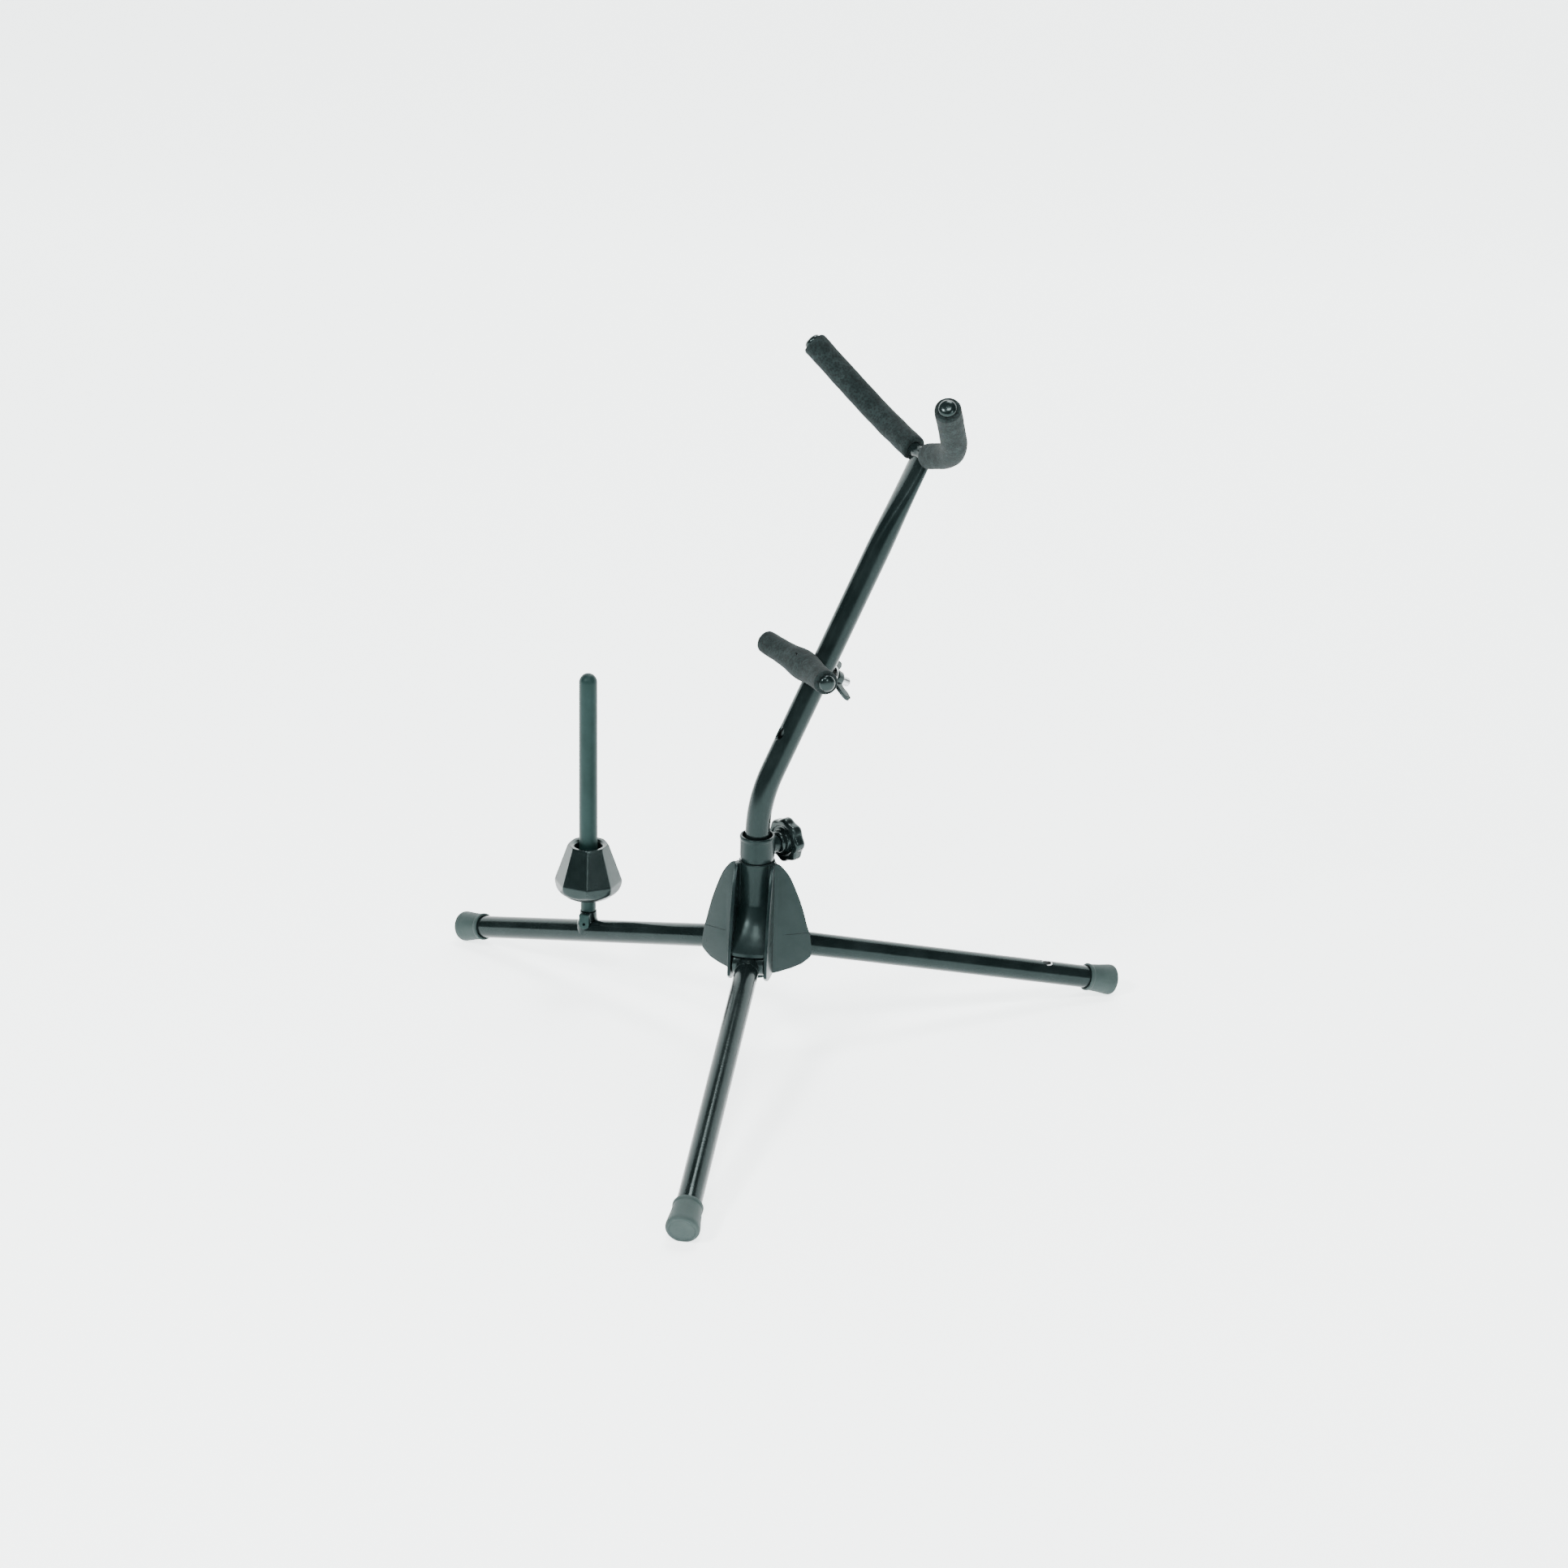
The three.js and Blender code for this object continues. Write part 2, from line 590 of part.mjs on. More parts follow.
function clampKnob() {
  const bevel = 1.2;
  const depth = KNOB_OUTER - KNOB_INNER - 2 * bevel;
  const wheel = new THREE.ExtrudeGeometry(knobShape(), {
    depth, bevelThickness: bevel, bevelSize: bevel, bevelOffset: -bevel, bevelSegments: 1,
  }).translate(0, 0, KNOB_INNER + bevel);
  const neck = rod(7.4, BOSS_REACH + GAP, KNOB_INNER + 2, TUBE_SIDES);
  const bore = rod(SCREW_RADIUS + GAP, 0, 27.3);
  return alongX(cut(joined(wheel, neck), bore)).translate(0, 0, CLAMP_HEIGHT);
}

function clamp() {
  const nut = alongX(pipe(NUT_RADIUS, SCREW_RADIUS + GAP, 11.7, BOSS_REACH - 0.2, SMALL_SIDES));
  const screw = alongX(rod(SCREW_RADIUS, BASE_TUBE_RADIUS + GAP, 27));
  const parts = group(
    named('clamp_collar', clampCollar(), finishes.satinPlastic()),
    named('clamp_nut', nut.translate(0, 0, CLAMP_HEIGHT), finishes.brass()),
    named('clamp_screw', screw.translate(0, 0, CLAMP_HEIGHT), finishes.zinc()),
    named('clamp_knob', clampKnob(), finishes.glossPlastic()),
  );
  parts.rotation.z = radians(CLAMP_AZIMUTH);
  return parts;
}

// ---- Mast -------------------------------------------------------------------------------------

// Leaning frame: X across the mast, Y up along it, Z out in front, zero at the bend point
function leaningFrame() {
  const azimuth = radians(MAST_AZIMUTH);
  const lean = radians(MAST_LEAN);
  const outward = new THREE.Vector3(Math.cos(azimuth), Math.sin(azimuth), 0);
  const upward = new THREE.Vector3(0, 0, 1);
  const across = outward.clone().cross(upward);
  const along = outward.clone().multiplyScalar(Math.sin(lean)).addScaledVector(upward, Math.cos(lean));
  const front = across.clone().cross(along);
  const frame = new THREE.Matrix4().makeBasis(across, along, front);
  return frame.setPosition(0, 0, MAST_BEND_HEIGHT);
}

const leaning = leaningFrame();
const toMastFrame = leaning.clone().invert();

function mastPath() {
  const foot = new THREE.Vector3(0, 0, MAST_FOOT_HEIGHT).applyMatrix4(toMastFrame);
  const top = new THREE.Vector3(0, FORK_DISTANCE, 0);
  return roundedPath([foot, new THREE.Vector3(), top], [MAST_BEND_TANGENT]);
}

// Squeezes the top of the mast front to back, where the fork is welded in
function flattened(geometry) {
  const position = geometry.attributes.position;
  for (let i = 0; i < position.count; i += 1) {
    const amount = THREE.MathUtils.smoothstep(position.getY(i), FLAT_START, FORK_DISTANCE - 6);
    position.setX(i, position.getX(i) * THREE.MathUtils.lerp(1, FLAT_WIDTH_SCALE, amount));
    position.setZ(i, position.getZ(i) * THREE.MathUtils.lerp(1, FLAT_DEPTH_SCALE, amount));
  }
  return geometry;
}

function mastTube() {
  const path = mastPath();
  const length = path.getLength();
  const flatLength = FORK_DISTANCE - FLAT_START;
  const flatRings = [1, 0.8, 0.6, 0.4, 0.2].map((share) => length - share * flatLength);
  const distances = [...ringDistances(path).slice(0, -1), ...flatRings, length];
  const tube = flattened(bent(path, MAST_RADIUS, MAST_BORE, distances, 20));
  const boltHole = rod(BOLT_RADIUS + GAP, -20, 20).translate(0, YOKE_DISTANCE, 0);
  const spareHole = rod(SPARE_HOLE_RADIUS, -20, 20).translate(0, SPARE_HOLE_DISTANCE, 0);
  const rimDepth = MAST_RADIUS - 1.2;
  const profile = [[0, rimDepth - 0.6], [SPARE_HOLE_RADIUS, rimDepth - 0.6], [SPARE_HOLE_RIM, 9.4], [0, 9.4]];
  const rim = turned(profile, SMALL_SIDES)
    .translate(0, SPARE_HOLE_DISTANCE, 0);
  const saddle = bent(forkPath(), PRONG_RADIUS + GAP, 0);
  return cut(tube, boltHole, spareHole, rim, saddle);
}

function mastFootPlug() {
  const spigot = MAST_BORE - GAP;
  return turned([
    [0, 71.5], [7.4, 71.5], [8.1, 72.3], [8.1, MAST_FOOT_HEIGHT - GAP],
    [spigot, MAST_FOOT_HEIGHT - GAP], [spigot, 86], [0, 86],
  ]);
}

// ---- Fork and yoke, in the leaning frame --------------------------------------------------------

// A path that is the same on both sides of the mast
function mirroredPath(root, bend, tip, rootTangent, bendTangent) {
  const points = [
    new THREE.Vector3(-tip.x, tip.y, tip.z), new THREE.Vector3(-bend.x, bend.y, bend.z), root,
    new THREE.Vector3(bend.x, bend.y, bend.z), new THREE.Vector3(tip.x, tip.y, tip.z),
  ];
  return roundedPath(points, [bendTangent, rootTangent, bendTangent]);
}

function forkPath() {
  const root = new THREE.Vector3(0, FORK_DISTANCE, 0);
  return mirroredPath(root, FORK_BEND, FORK_TIP, FORK_ROOT_TANGENT, FORK_BEND_TANGENT);
}

function yokePath() {
  const root = new THREE.Vector3(0, YOKE_DISTANCE, YOKE_STANDOFF);
  const bend = { ...YOKE_BEND, y: YOKE_DISTANCE };
  const tip = { ...YOKE_TIP, y: YOKE_DISTANCE };
  return mirroredPath(root, bend, tip, 5, 8);
}

// Moves a piece built about Z to one end of a path, with +Z out of that end
function atEnd(geometry, path, atStart) {
  const outward = path.getTangentAt(atStart ? 0 : 1).multiplyScalar(atStart ? -1 : 1);
  const turn = new THREE.Quaternion().setFromUnitVectors(new THREE.Vector3(0, 0, 1), outward);
  const end = path.getPointAt(atStart ? 0 : 1);
  return geometry.applyQuaternion(turn).translate(end.x, end.y, end.z);
}

// A bar with a blind hole in each end for the spigots of the end caps
function prongedBar(path) {
  const holes = [true, false].map((atStart) => atEnd(rod(CAP_SPIGOT + GAP, -8, 2), path, atStart));
  return cut(bent(path, PRONG_RADIUS, 0), ...holes);
}

// Domed cap with its spigot in the bar
function endCap(path, atStart) {
  const cap = turned([
    [0, -7], [CAP_SPIGOT, -7], [CAP_SPIGOT, GAP], [CAP_RADIUS, GAP], [CAP_RADIUS, GAP + 0.8],
    [CAP_RADIUS * 0.85, GAP + 0.7 * CAP_HEIGHT], [CAP_RADIUS * 0.45, GAP + CAP_HEIGHT],
    [0, GAP + CAP_HEIGHT * 1.08],
  ], SMALL_SIDES);
  return atEnd(cap, path, atStart);
}

function forkFoam(fromStart) {
  const path = forkPath();
  const length = path.getLength();
  const inner = length / 2 - FORK_FOAM_START;
  const distances = fromStart ? ringDistances(path, 0, inner) : ringDistances(path, length - inner, length);
  return bent(path, FORK_FOAM_RADIUS, FOAM_BORE, distances);
}

// Foam is thicker over the bolt head, and pressed flat against the mast
function yokeFoam() {
  const sleeve = bent(yokePath(), YOKE_FOAM_RADIUS, FOAM_BORE);
  const position = sleeve.attributes.position;
  for (let i = 0; i < position.count; i += 1) {
    const away = Math.abs(position.getX(i)) / YOKE_BEND.x;
    const swell = 1 + (YOKE_FOAM_SWELL / YOKE_FOAM_RADIUS) * Math.exp(-away * away);
    const distance = Math.hypot(position.getY(i) - YOKE_DISTANCE, position.getZ(i) - YOKE_STANDOFF);
    const outer = distance > FOAM_BORE + 1;
    if (outer) {
      position.setY(i, YOKE_DISTANCE + (position.getY(i) - YOKE_DISTANCE) * swell);
      position.setZ(i, YOKE_STANDOFF + (position.getZ(i) - YOKE_STANDOFF) * swell);
    }
  }
  const depth = 40;
  const mastSide = new THREE.BoxGeometry(2 * YOKE_FOAM_FLAT_HALF, depth, depth)
    .translate(0, YOKE_DISTANCE, YOKE_FOAM_BACK - depth / 2);
  const headPocket = rod(BOLT_HEAD_RADIUS + 0.6, YOKE_STANDOFF, 23).translate(0, YOKE_DISTANCE, 0);
  return cut(sleeve, mastSide, headPocket);
}

function yokeBolt() {
  const headSeat = YOKE_STANDOFF + PRONG_RADIUS + 3 * GAP;
  return turned([
    [0, BOLT_END], [BOLT_RADIUS - 0.5, BOLT_END], [BOLT_RADIUS, BOLT_END + 0.6], [BOLT_RADIUS, headSeat],
    [BOLT_HEAD_RADIUS, headSeat], [BOLT_HEAD_RADIUS, headSeat + 1.6],
    [3, headSeat + 2.8], [0, headSeat + 2.8],
  ], SMALL_SIDES).translate(0, YOKE_DISTANCE, 0);
}

function yokeRod() {
  const boltHole = rod(BOLT_RADIUS + GAP, 0, 30).translate(0, YOKE_DISTANCE, 0);
  return cut(prongedBar(yokePath()), boltHole);
}

function wingShape() {
  const shape = new THREE.Shape();
  shape.moveTo(3.6, 10.8);
  shape.lineTo(8, 11.6);
  shape.quadraticCurveTo(12, 13, 14.6, 15.4);
  shape.quadraticCurveTo(WING_SPAN + 1.2, 18, WING_SPAN, 20.4);
  shape.quadraticCurveTo(15.4, 22.6, 11.6, 20.4);
  shape.quadraticCurveTo(8, 17.6, 3.6, 16.8);
  shape.closePath();
  return shape;
}

// Built upwards from the washer, then turned to face the back of the mast
function wingNut() {
  const body = turned([[0, 10.4], [6.2, 10.4], [5.2, 16.8], [4.6, 17.4], [0, 17.4]], SMALL_SIDES);
  const wing = () => standingPlate(wingShape(), 2);
  const bore = rod(BOLT_RADIUS + GAP, 0, 30);
  return cut(joined(body, wing(), wing().rotateZ(Math.PI)), bore)
    .rotateX(Math.PI)
    .rotateZ(radians(WING_TURN))
    .translate(0, YOKE_DISTANCE, 0);
}

function mast() {
  const fork = forkPath();
  const yoke = yokePath();
  const washer = pipe(7.4, BOLT_RADIUS + GAP, -10.1, -8.6, TUBE_SIDES).translate(0, YOKE_DISTANCE, 0);
  const parts = group(
    named('mast_tube', mastTube(), finishes.glossSteel()),
    named('fork_rod', prongedBar(fork), finishes.glossSteel()),
    named('fork_foam_left', forkFoam(true), finishes.foam()),
    named('fork_foam_right', forkFoam(false), finishes.foam()),
    named('fork_cap_left', endCap(fork, true), finishes.glossPlastic()),
    named('fork_cap_right', endCap(fork, false), finishes.glossPlastic()),
    named('yoke_rod', yokeRod(), finishes.glossSteel()),
    named('yoke_bolt', yokeBolt(), finishes.zinc()),
    named('yoke_foam', yokeFoam(), finishes.foam()),
    named('yoke_cap_left', endCap(yoke, true), finishes.glossPlastic()),
    named('yoke_cap_right', endCap(yoke, false), finishes.glossPlastic()),
    named('yoke_washer', washer, finishes.zinc()),
    named('yoke_wing_nut', wingNut(), finishes.glossPlastic()),
  );
  leaning.decompose(parts.position, parts.quaternion, parts.scale);
  return parts;
}

function mastFittings() {
  const liner = pipe(BASE_TUBE_RADIUS - 0.1, MAST_RADIUS + GAP, LINER_BOTTOM, LINER_TOP);
  return group(
    named('mast_liner', liner, finishes.nylon()),
    named('mast_foot_plug', mastFootPlug(), finishes.satinPlastic()),
  );
}

// ---- The whole stand ----------------------------------------------------------------------------

const stand = group(
  hub(),
  ...Object.keys(LEG_AZIMUTHS).map(leg),
  clamp(),
  mastFittings(),
  mast(),
);
stand.position.y = HUB_AXIS_Y;

export default group(stand);
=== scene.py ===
# Looks of the saxophone stand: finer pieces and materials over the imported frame.
# Lengths in this file are millimetres, in the same local frames as the solids; piece() turns
# them into metres in the frame's own axes.

import json
import math

import bmesh
import bpy
from mathutils import Matrix, Vector, noise


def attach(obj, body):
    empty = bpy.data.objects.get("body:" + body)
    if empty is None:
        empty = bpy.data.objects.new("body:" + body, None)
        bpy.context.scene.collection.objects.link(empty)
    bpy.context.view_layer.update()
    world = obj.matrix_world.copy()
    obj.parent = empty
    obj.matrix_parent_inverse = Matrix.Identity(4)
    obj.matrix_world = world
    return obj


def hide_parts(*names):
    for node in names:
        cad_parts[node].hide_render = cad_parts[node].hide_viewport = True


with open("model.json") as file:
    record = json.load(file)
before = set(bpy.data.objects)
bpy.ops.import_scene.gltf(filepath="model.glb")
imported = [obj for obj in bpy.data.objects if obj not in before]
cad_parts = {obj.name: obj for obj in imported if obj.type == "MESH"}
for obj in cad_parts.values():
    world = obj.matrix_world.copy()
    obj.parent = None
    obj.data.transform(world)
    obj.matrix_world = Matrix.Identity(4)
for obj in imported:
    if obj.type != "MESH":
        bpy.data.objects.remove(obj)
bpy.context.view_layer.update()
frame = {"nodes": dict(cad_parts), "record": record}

MM = 0.001
AXIS_Y = 65.52                      # hub axis, from the middle of the footprint
SIDES = 64
PIVOT_REACH = 26
SLOPE = math.radians(15)
LEG_LENGTH = (275 - PIVOT_REACH) / math.cos(SLOPE)
PIVOT_HEIGHT = (LEG_LENGTH - 2.5) * math.sin(SLOPE) + 11 * math.cos(SLOPE) - 1
AZIMUTHS = {"front": -90, "right": 30, "left": 150}
MAST_AZIMUTH = math.radians(35)
MAST_LEAN = math.radians(27)
CLAMP_AZIMUTH = math.radians(50)
CLAMP_HEIGHT = 147.8
PEG_REACH = 152
SPARE_REACH = 222
YOKE = 96.3                         # distance of the yoke along the leaning mast
FORK = 253.4                        # distance of the fork along the leaning mast

HUB = Matrix.Translation((0, AXIS_Y, 0))


def leaning_frame():
    outward = Vector((math.cos(MAST_AZIMUTH), math.sin(MAST_AZIMUTH), 0))
    up = Vector((0, 0, 1))
    across = outward.cross(up)
    along = outward * math.sin(MAST_LEAN) + up * math.cos(MAST_LEAN)
    front = across.cross(along)
    turn = Matrix((across, along, front)).transposed().to_4x4()
    return HUB @ Matrix.Translation((0, 0, 182)) @ turn


LEAN = leaning_frame()


def arm_frame(side):
    return HUB @ Matrix.Rotation(math.radians(AZIMUTHS[side]), 4, "Z")


def leg_frame(side):
    pivot = Matrix.Translation((PIVOT_REACH, 0, PIVOT_HEIGHT))
    return arm_frame(side) @ pivot @ Matrix.Rotation(SLOPE, 4, "Y")


CLAMP_TURN = Matrix.Translation((0, 0, CLAMP_HEIGHT)) @ Matrix.Rotation(CLAMP_AZIMUTH, 4, "Z")
CLAMP = HUB @ CLAMP_TURN
ALONG_X = Matrix.Rotation(math.pi / 2, 4, "Y")
ALONG_Y = Matrix.Rotation(-math.pi / 2, 4, "X")


def leg_height(reach):
    return PIVOT_HEIGHT - (reach - PIVOT_REACH) * math.tan(SLOPE)


# ---- Materials -----------------------------------------------------------------------------

def surface(name, dark, light, roughness, bump, grain, metallic=0.0, coat=0.0, specular=0.5, sheen=0.0,
            blotch=0.02, fleck=0.0, tint=(1, 1, 1)):
    """A mottled finish. grain is the size of the fine bump and blotch that of the slow variation, in metres;
    roughness is a pair."""
    material = bpy.data.materials.new(name)
    material.use_nodes = True
    nodes = material.node_tree.nodes
    links = material.node_tree.links
    shader = nodes["Principled BSDF"]
    shader.inputs["Metallic"].default_value = metallic
    shader.inputs["Coat Weight"].default_value = coat
    shader.inputs["Coat Roughness"].default_value = 0.06
    shader.inputs["Specular IOR Level"].default_value = specular
    shader.inputs["Specular Tint"].default_value = (*tint, 1)
    shader.inputs["Sheen Weight"].default_value = sheen
    shader.inputs["Sheen Roughness"].default_value = 0.6
    where = nodes.new("ShaderNodeTexCoord")

    def noise_at(scale, detail):
        texture = nodes.new("ShaderNodeTexNoise")
        texture.inputs["Scale"].default_value = scale
        texture.inputs["Detail"].default_value = detail
        links.new(where.outputs["Object"], texture.inputs["Vector"])
        return texture

    slow = noise_at(1 / blotch, 4)
    fine = noise_at(1 / grain, 3)
    colour = nodes.new("ShaderNodeValToRGB")
    colour.color_ramp.elements[0].position = 0.36
    colour.color_ramp.elements[0].color = (*dark, 1)
    colour.color_ramp.elements[1].position = 0.66
    colour.color_ramp.elements[1].color = (*light, 1)
    links.new(slow.outputs["Fac"], colour.inputs["Fac"])
    paint = colour.outputs["Color"]
    if fleck:
        specks = nodes.new("ShaderNodeTexVoronoi")
        specks.inputs["Scale"].default_value = 1 / (2.2 * grain)
        links.new(where.outputs["Object"], specks.inputs["Vector"])
        shade = nodes.new("ShaderNodeMapRange")
        shade.inputs["From Min"].default_value = 0.1
        shade.inputs["From Max"].default_value = 0.7
        shade.inputs["To Min"].default_value = 1 - fleck
        shade.inputs["To Max"].default_value = 1 + fleck
        links.new(specks.outputs["Distance"], shade.inputs["Value"])
        mix = nodes.new("ShaderNodeMix")
        mix.data_type = "RGBA"
        mix.blend_type = "MULTIPLY"
        mix.inputs["Factor"].default_value = 1
        links.new(paint, mix.inputs[6])
        links.new(shade.outputs["Result"], mix.inputs[7])
        paint = mix.outputs[2]
    links.new(paint, shader.inputs["Base Color"])
    gloss = nodes.new("ShaderNodeMapRange")
    gloss.inputs["To Min"].default_value = roughness[0]
    gloss.inputs["To Max"].default_value = roughness[1]
    links.new(slow.outputs["Fac"], gloss.inputs["Value"])
    links.new(gloss.outputs["Result"], shader.inputs["Roughness"])
    relief = nodes.new("ShaderNodeBump")
    relief.inputs["Strength"].default_value = bump
    relief.inputs["Distance"].default_value = grain * 0.5
    links.new(fine.outputs["Fac"], relief.inputs["Height"])
    links.new(relief.outputs["Normal"], shader.inputs["Normal"])
    return material


GREEN_TINT = (0.75, 1.0, 0.98)
MATERIALS = {
    "black_steel": surface(
        "gloss black paint", (0.004, 0.007, 0.007), (0.007, 0.011, 0.011), (0.10, 0.20), 0.08, 0.0011,
        specular=0.2, tint=(0.72, 1.0, 0.98)),
    "hub_plastic": surface(
        "moulded grey plastic", (0.004, 0.009, 0.009), (0.008, 0.014, 0.014), (0.24, 0.36), 0.18, 0.0005,
        specular=0.17, tint=GREEN_TINT),
    "black_plastic": surface(
        "gloss black plastic", (0.003, 0.006, 0.006), (0.007, 0.011, 0.011), (0.16, 0.27), 0.10, 0.0008,
        specular=0.3, tint=GREEN_TINT),
    "plated_steel": surface(
        "zinc plate", (0.42, 0.44, 0.44), (0.58, 0.60, 0.60), (0.22, 0.36), 0.15, 0.0004,
        metallic=1.0, blotch=0.004),
    "brass": surface(
        "machined brass", (0.50, 0.36, 0.14), (0.62, 0.46, 0.20), (0.22, 0.34), 0.15, 0.0004,
        metallic=1.0, blotch=0.004),
    "nylon": surface(
        "grey nylon", (0.10, 0.13, 0.13), (0.15, 0.18, 0.18), (0.30, 0.42), 0.12, 0.0006),
    "foam": surface(
        "black closed-cell foam", (0.004, 0.008, 0.008), (0.010, 0.016, 0.016), (0.82, 0.95), 0.75, 0.0007,
        specular=0.12, sheen=0.02, blotch=0.006, fleck=0.45),
    "foot_rubber": surface(
        "grey rubber", (0.018, 0.034, 0.032), (0.034, 0.052, 0.050), (0.52, 0.68), 0.45, 0.0006,
        specular=0.22),
    "peg_plastic": surface(
        "satin grey-green plastic", (0.006, 0.017, 0.016), (0.010, 0.024, 0.023), (0.36, 0.50), 0.20, 0.0006,
        specular=0.16, tint=(0.70, 1.0, 0.97)),
}


# ---- Meshes --------------------------------------------------------------------------------

def from_rings(rings, closed_section=True, caps=True, loop=False):
    """A mesh through rings of points. A ring of one point is a pole."""
    mesh = bmesh.new()
    rows = [[mesh.verts.new(point) for point in ring] for ring in rings]
    pairs = list(zip(rows, rows[1:]))
    if loop:
        pairs.append((rows[-1], rows[0]))
    for lower, upper in pairs:
        count = max(len(lower), len(upper))
        for i in range(count if closed_section else count - 1):
            j = (i + 1) % count
            below = [lower[i % len(lower)], lower[j % len(lower)]]
            above = [upper[j % len(upper)], upper[i % len(upper)]]
            corners = below + above
            face = [corner for k, corner in enumerate(corners) if corner is not corners[k - 1]]
            mesh.faces.new(face)
    if caps and not loop:
        for row in (rows[0], rows[-1]):
            if len(row) > 2:
                mesh.faces.new(row)
    bmesh.ops.recalc_face_normals(mesh, faces=mesh.faces)
    return mesh


def filleted(points, closed=False, steps=4):
    """Corner points with a third value, the length rounded off each side, as a plain outline."""
    outline = []
    for i, point in enumerate(points):
        here = Vector(point[:2])
        cut = point[2] if len(point) > 2 else 0
        if not cut or (not closed and i in (0, len(points) - 1)):
            outline.append(here)
            continue
        before = Vector(points[i - 1][:2])
        after = Vector(points[(i + 1) % len(points)][:2])
        start = here + (before - here).normalized() * cut
        end = here + (after - here).normalized() * cut
        for k in range(steps + 1):
            t = k / steps
            outline.append(start * (1 - t) ** 2 + here * 2 * t * (1 - t) + end * t ** 2)
    return outline


def turned(profile, sides=SIDES, shape=None, closed=False):
    """A solid of revolution about Z. shape(r, z, angle) may change the radius."""
    rings = []
    for r, z in filleted(profile, closed):
        if r < 1e-6:
            rings.append([Vector((0, 0, z))])
            continue
        ring = []
        for i in range(sides):
            angle = 2 * math.pi * i / sides
            radius = shape(r, z, angle) if shape else r
            ring.append(Vector((radius * math.cos(angle), radius * math.sin(angle), z)))
        rings.append(ring)
    return from_rings(rings, caps=False, loop=closed)


def pipe(radius, bore, start, end, edge=0.3, rings=1, sides=SIDES):
    outer = [(radius, start + (end - start) * i / rings) for i in range(1, rings)]
    profile = [(bore, start, edge), (radius, start, edge), *outer, (radius, end, edge), (bore, end, edge)]
    return turned(profile, sides, closed=True)


def plate(outline, thickness):
    """A standing plate in the XZ plane, centred on Y."""
    sides = [[Vector((x, y, z)) for x, z in outline] for y in (-thickness / 2, thickness / 2)]
    return from_rings(sides)


def rounded_path(corners, cuts, spacing=1.5):
    """Points along straight lines joined by smooth bends."""
    path = []
    start = Vector(corners[0])

    def line(a, b):
        count = max(1, round((b - a).length / spacing))
        path.extend(a.lerp(b, i / count) for i in range(count))

    for before, corner, after, cut in zip(corners, corners[1:], corners[2:], cuts):
        corner, before, after = Vector(corner), Vector(before), Vector(after)
        enter = corner + (before - corner).normalized() * cut
        leave = corner + (after - corner).normalized() * cut
        line(start, enter)
        count = max(6, round(2 * cut / spacing))
        for i in range(count):
            t = i / count
            path.append(enter * (1 - t) ** 2 + corner * 2 * t * (1 - t) + leave * t ** 2)
        start = leave
    line(start, Vector(corners[-1]))
    path.append(Vector(corners[-1]))
    return path


def path_frames(path):
    """Each point with its tangent and two side directions that don't twist."""
    frames = []
    side = None
    for i, point in enumerate(path):
        tangent = (path[min(i + 1, len(path) - 1)] - path[max(i - 1, 0)]).normalized()
        if side is None:
            side = tangent.orthogonal().normalized()
        side = (side - tangent * side.dot(tangent)).normalized()
        frames.append((point, tangent, side, tangent.cross(side)))
    return frames


def lengths(path):
    total = [0]
    for a, b in zip(path, path[1:]):
        total.append(total[-1] + (b - a).length)
    return total


def swept(path, radius, sides=48):
    """A round bar. radius is a number or a function of (share along the path, angle)."""
    along = lengths(path)
    rings = []
    for (point, _, a, b), distance in zip(path_frames(path), along):
        ring = []
        for i in range(sides):
            angle = 2 * math.pi * i / sides
            r = radius(distance, angle) if callable(radius) else radius
            ring.append(point + (a * math.cos(angle) + b * math.sin(angle)) * r)
        rings.append(ring)
    return from_rings(rings)


def swept_pipe(path, radius, bore, sides=56):
    """A sleeve along a path: out along the outside and back along the bore."""
    frames = path_frames(path)
    along = lengths(path)
    walk = [(i, True) for i in range(len(path))] + [(i, False) for i in reversed(range(len(path)))]
    rings = []
    for index, outside in walk:
        point, _, a, b = frames[index]
        ring = []
        for i in range(sides):
            angle = 2 * math.pi * i / sides
            r = (radius(along[index], angle) if callable(radius) else radius) if outside else bore
            ring.append(point + (a * math.cos(angle) + b * math.sin(angle)) * r)
        rings.append(ring)
    return from_rings(rings, loop=True)


def piece(name, mesh, matrix, body, slot, nodes=(), sharp=35):
    """Puts a mesh into the scene as a finished piece of a body, in place of CAD nodes."""
    mesh.transform(Matrix.Scale(MM, 4) @ matrix)
    if matrix.determinant() < 0:
        bmesh.ops.reverse_faces(mesh, faces=mesh.faces)
    data = bpy.data.meshes.new(name)
    mesh.to_mesh(data)
    mesh.free()
    data.materials.append(MATERIALS[slot])
    data.shade_smooth()
    data.set_sharp_from_angle(angle=math.radians(sharp))
    thing = bpy.data.objects.new(name, data)
    bpy.context.scene.collection.objects.link(thing)
    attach(thing, body)
    if nodes:
        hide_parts(*nodes)
    return thing


def scratch(mesh):
    data = bpy.data.meshes.new("scratch")
    mesh.to_mesh(data)
    mesh.free()
    thing = bpy.data.objects.new("scratch", data)
    bpy.context.scene.collection.objects.link(thing)
    return thing


def combined(base, tools, operation):
    """The boolean of a mesh with others, as a mesh."""
    whole = scratch(base)
    helpers = [scratch(tool) for tool in tools]
    for helper in helpers:
        step = whole.modifiers.new("step", "BOOLEAN")
        step.operation = operation
        step.solver = "EXACT"
        step.object = helper
    graph = bpy.context.evaluated_depsgraph_get()
    result = bmesh.new()
    result.from_mesh(whole.evaluated_get(graph).to_mesh())
    for thing in [whole, *helpers]:
        data = thing.data
        bpy.data.objects.remove(thing)
        bpy.data.meshes.remove(data)
    return result


def moved(mesh, matrix):
    mesh.transform(matrix)
    return mesh


def rod(radius, start, end, sides=32):
    return turned([(0, start), (radius, start), (radius, end), (0, end)], sides)


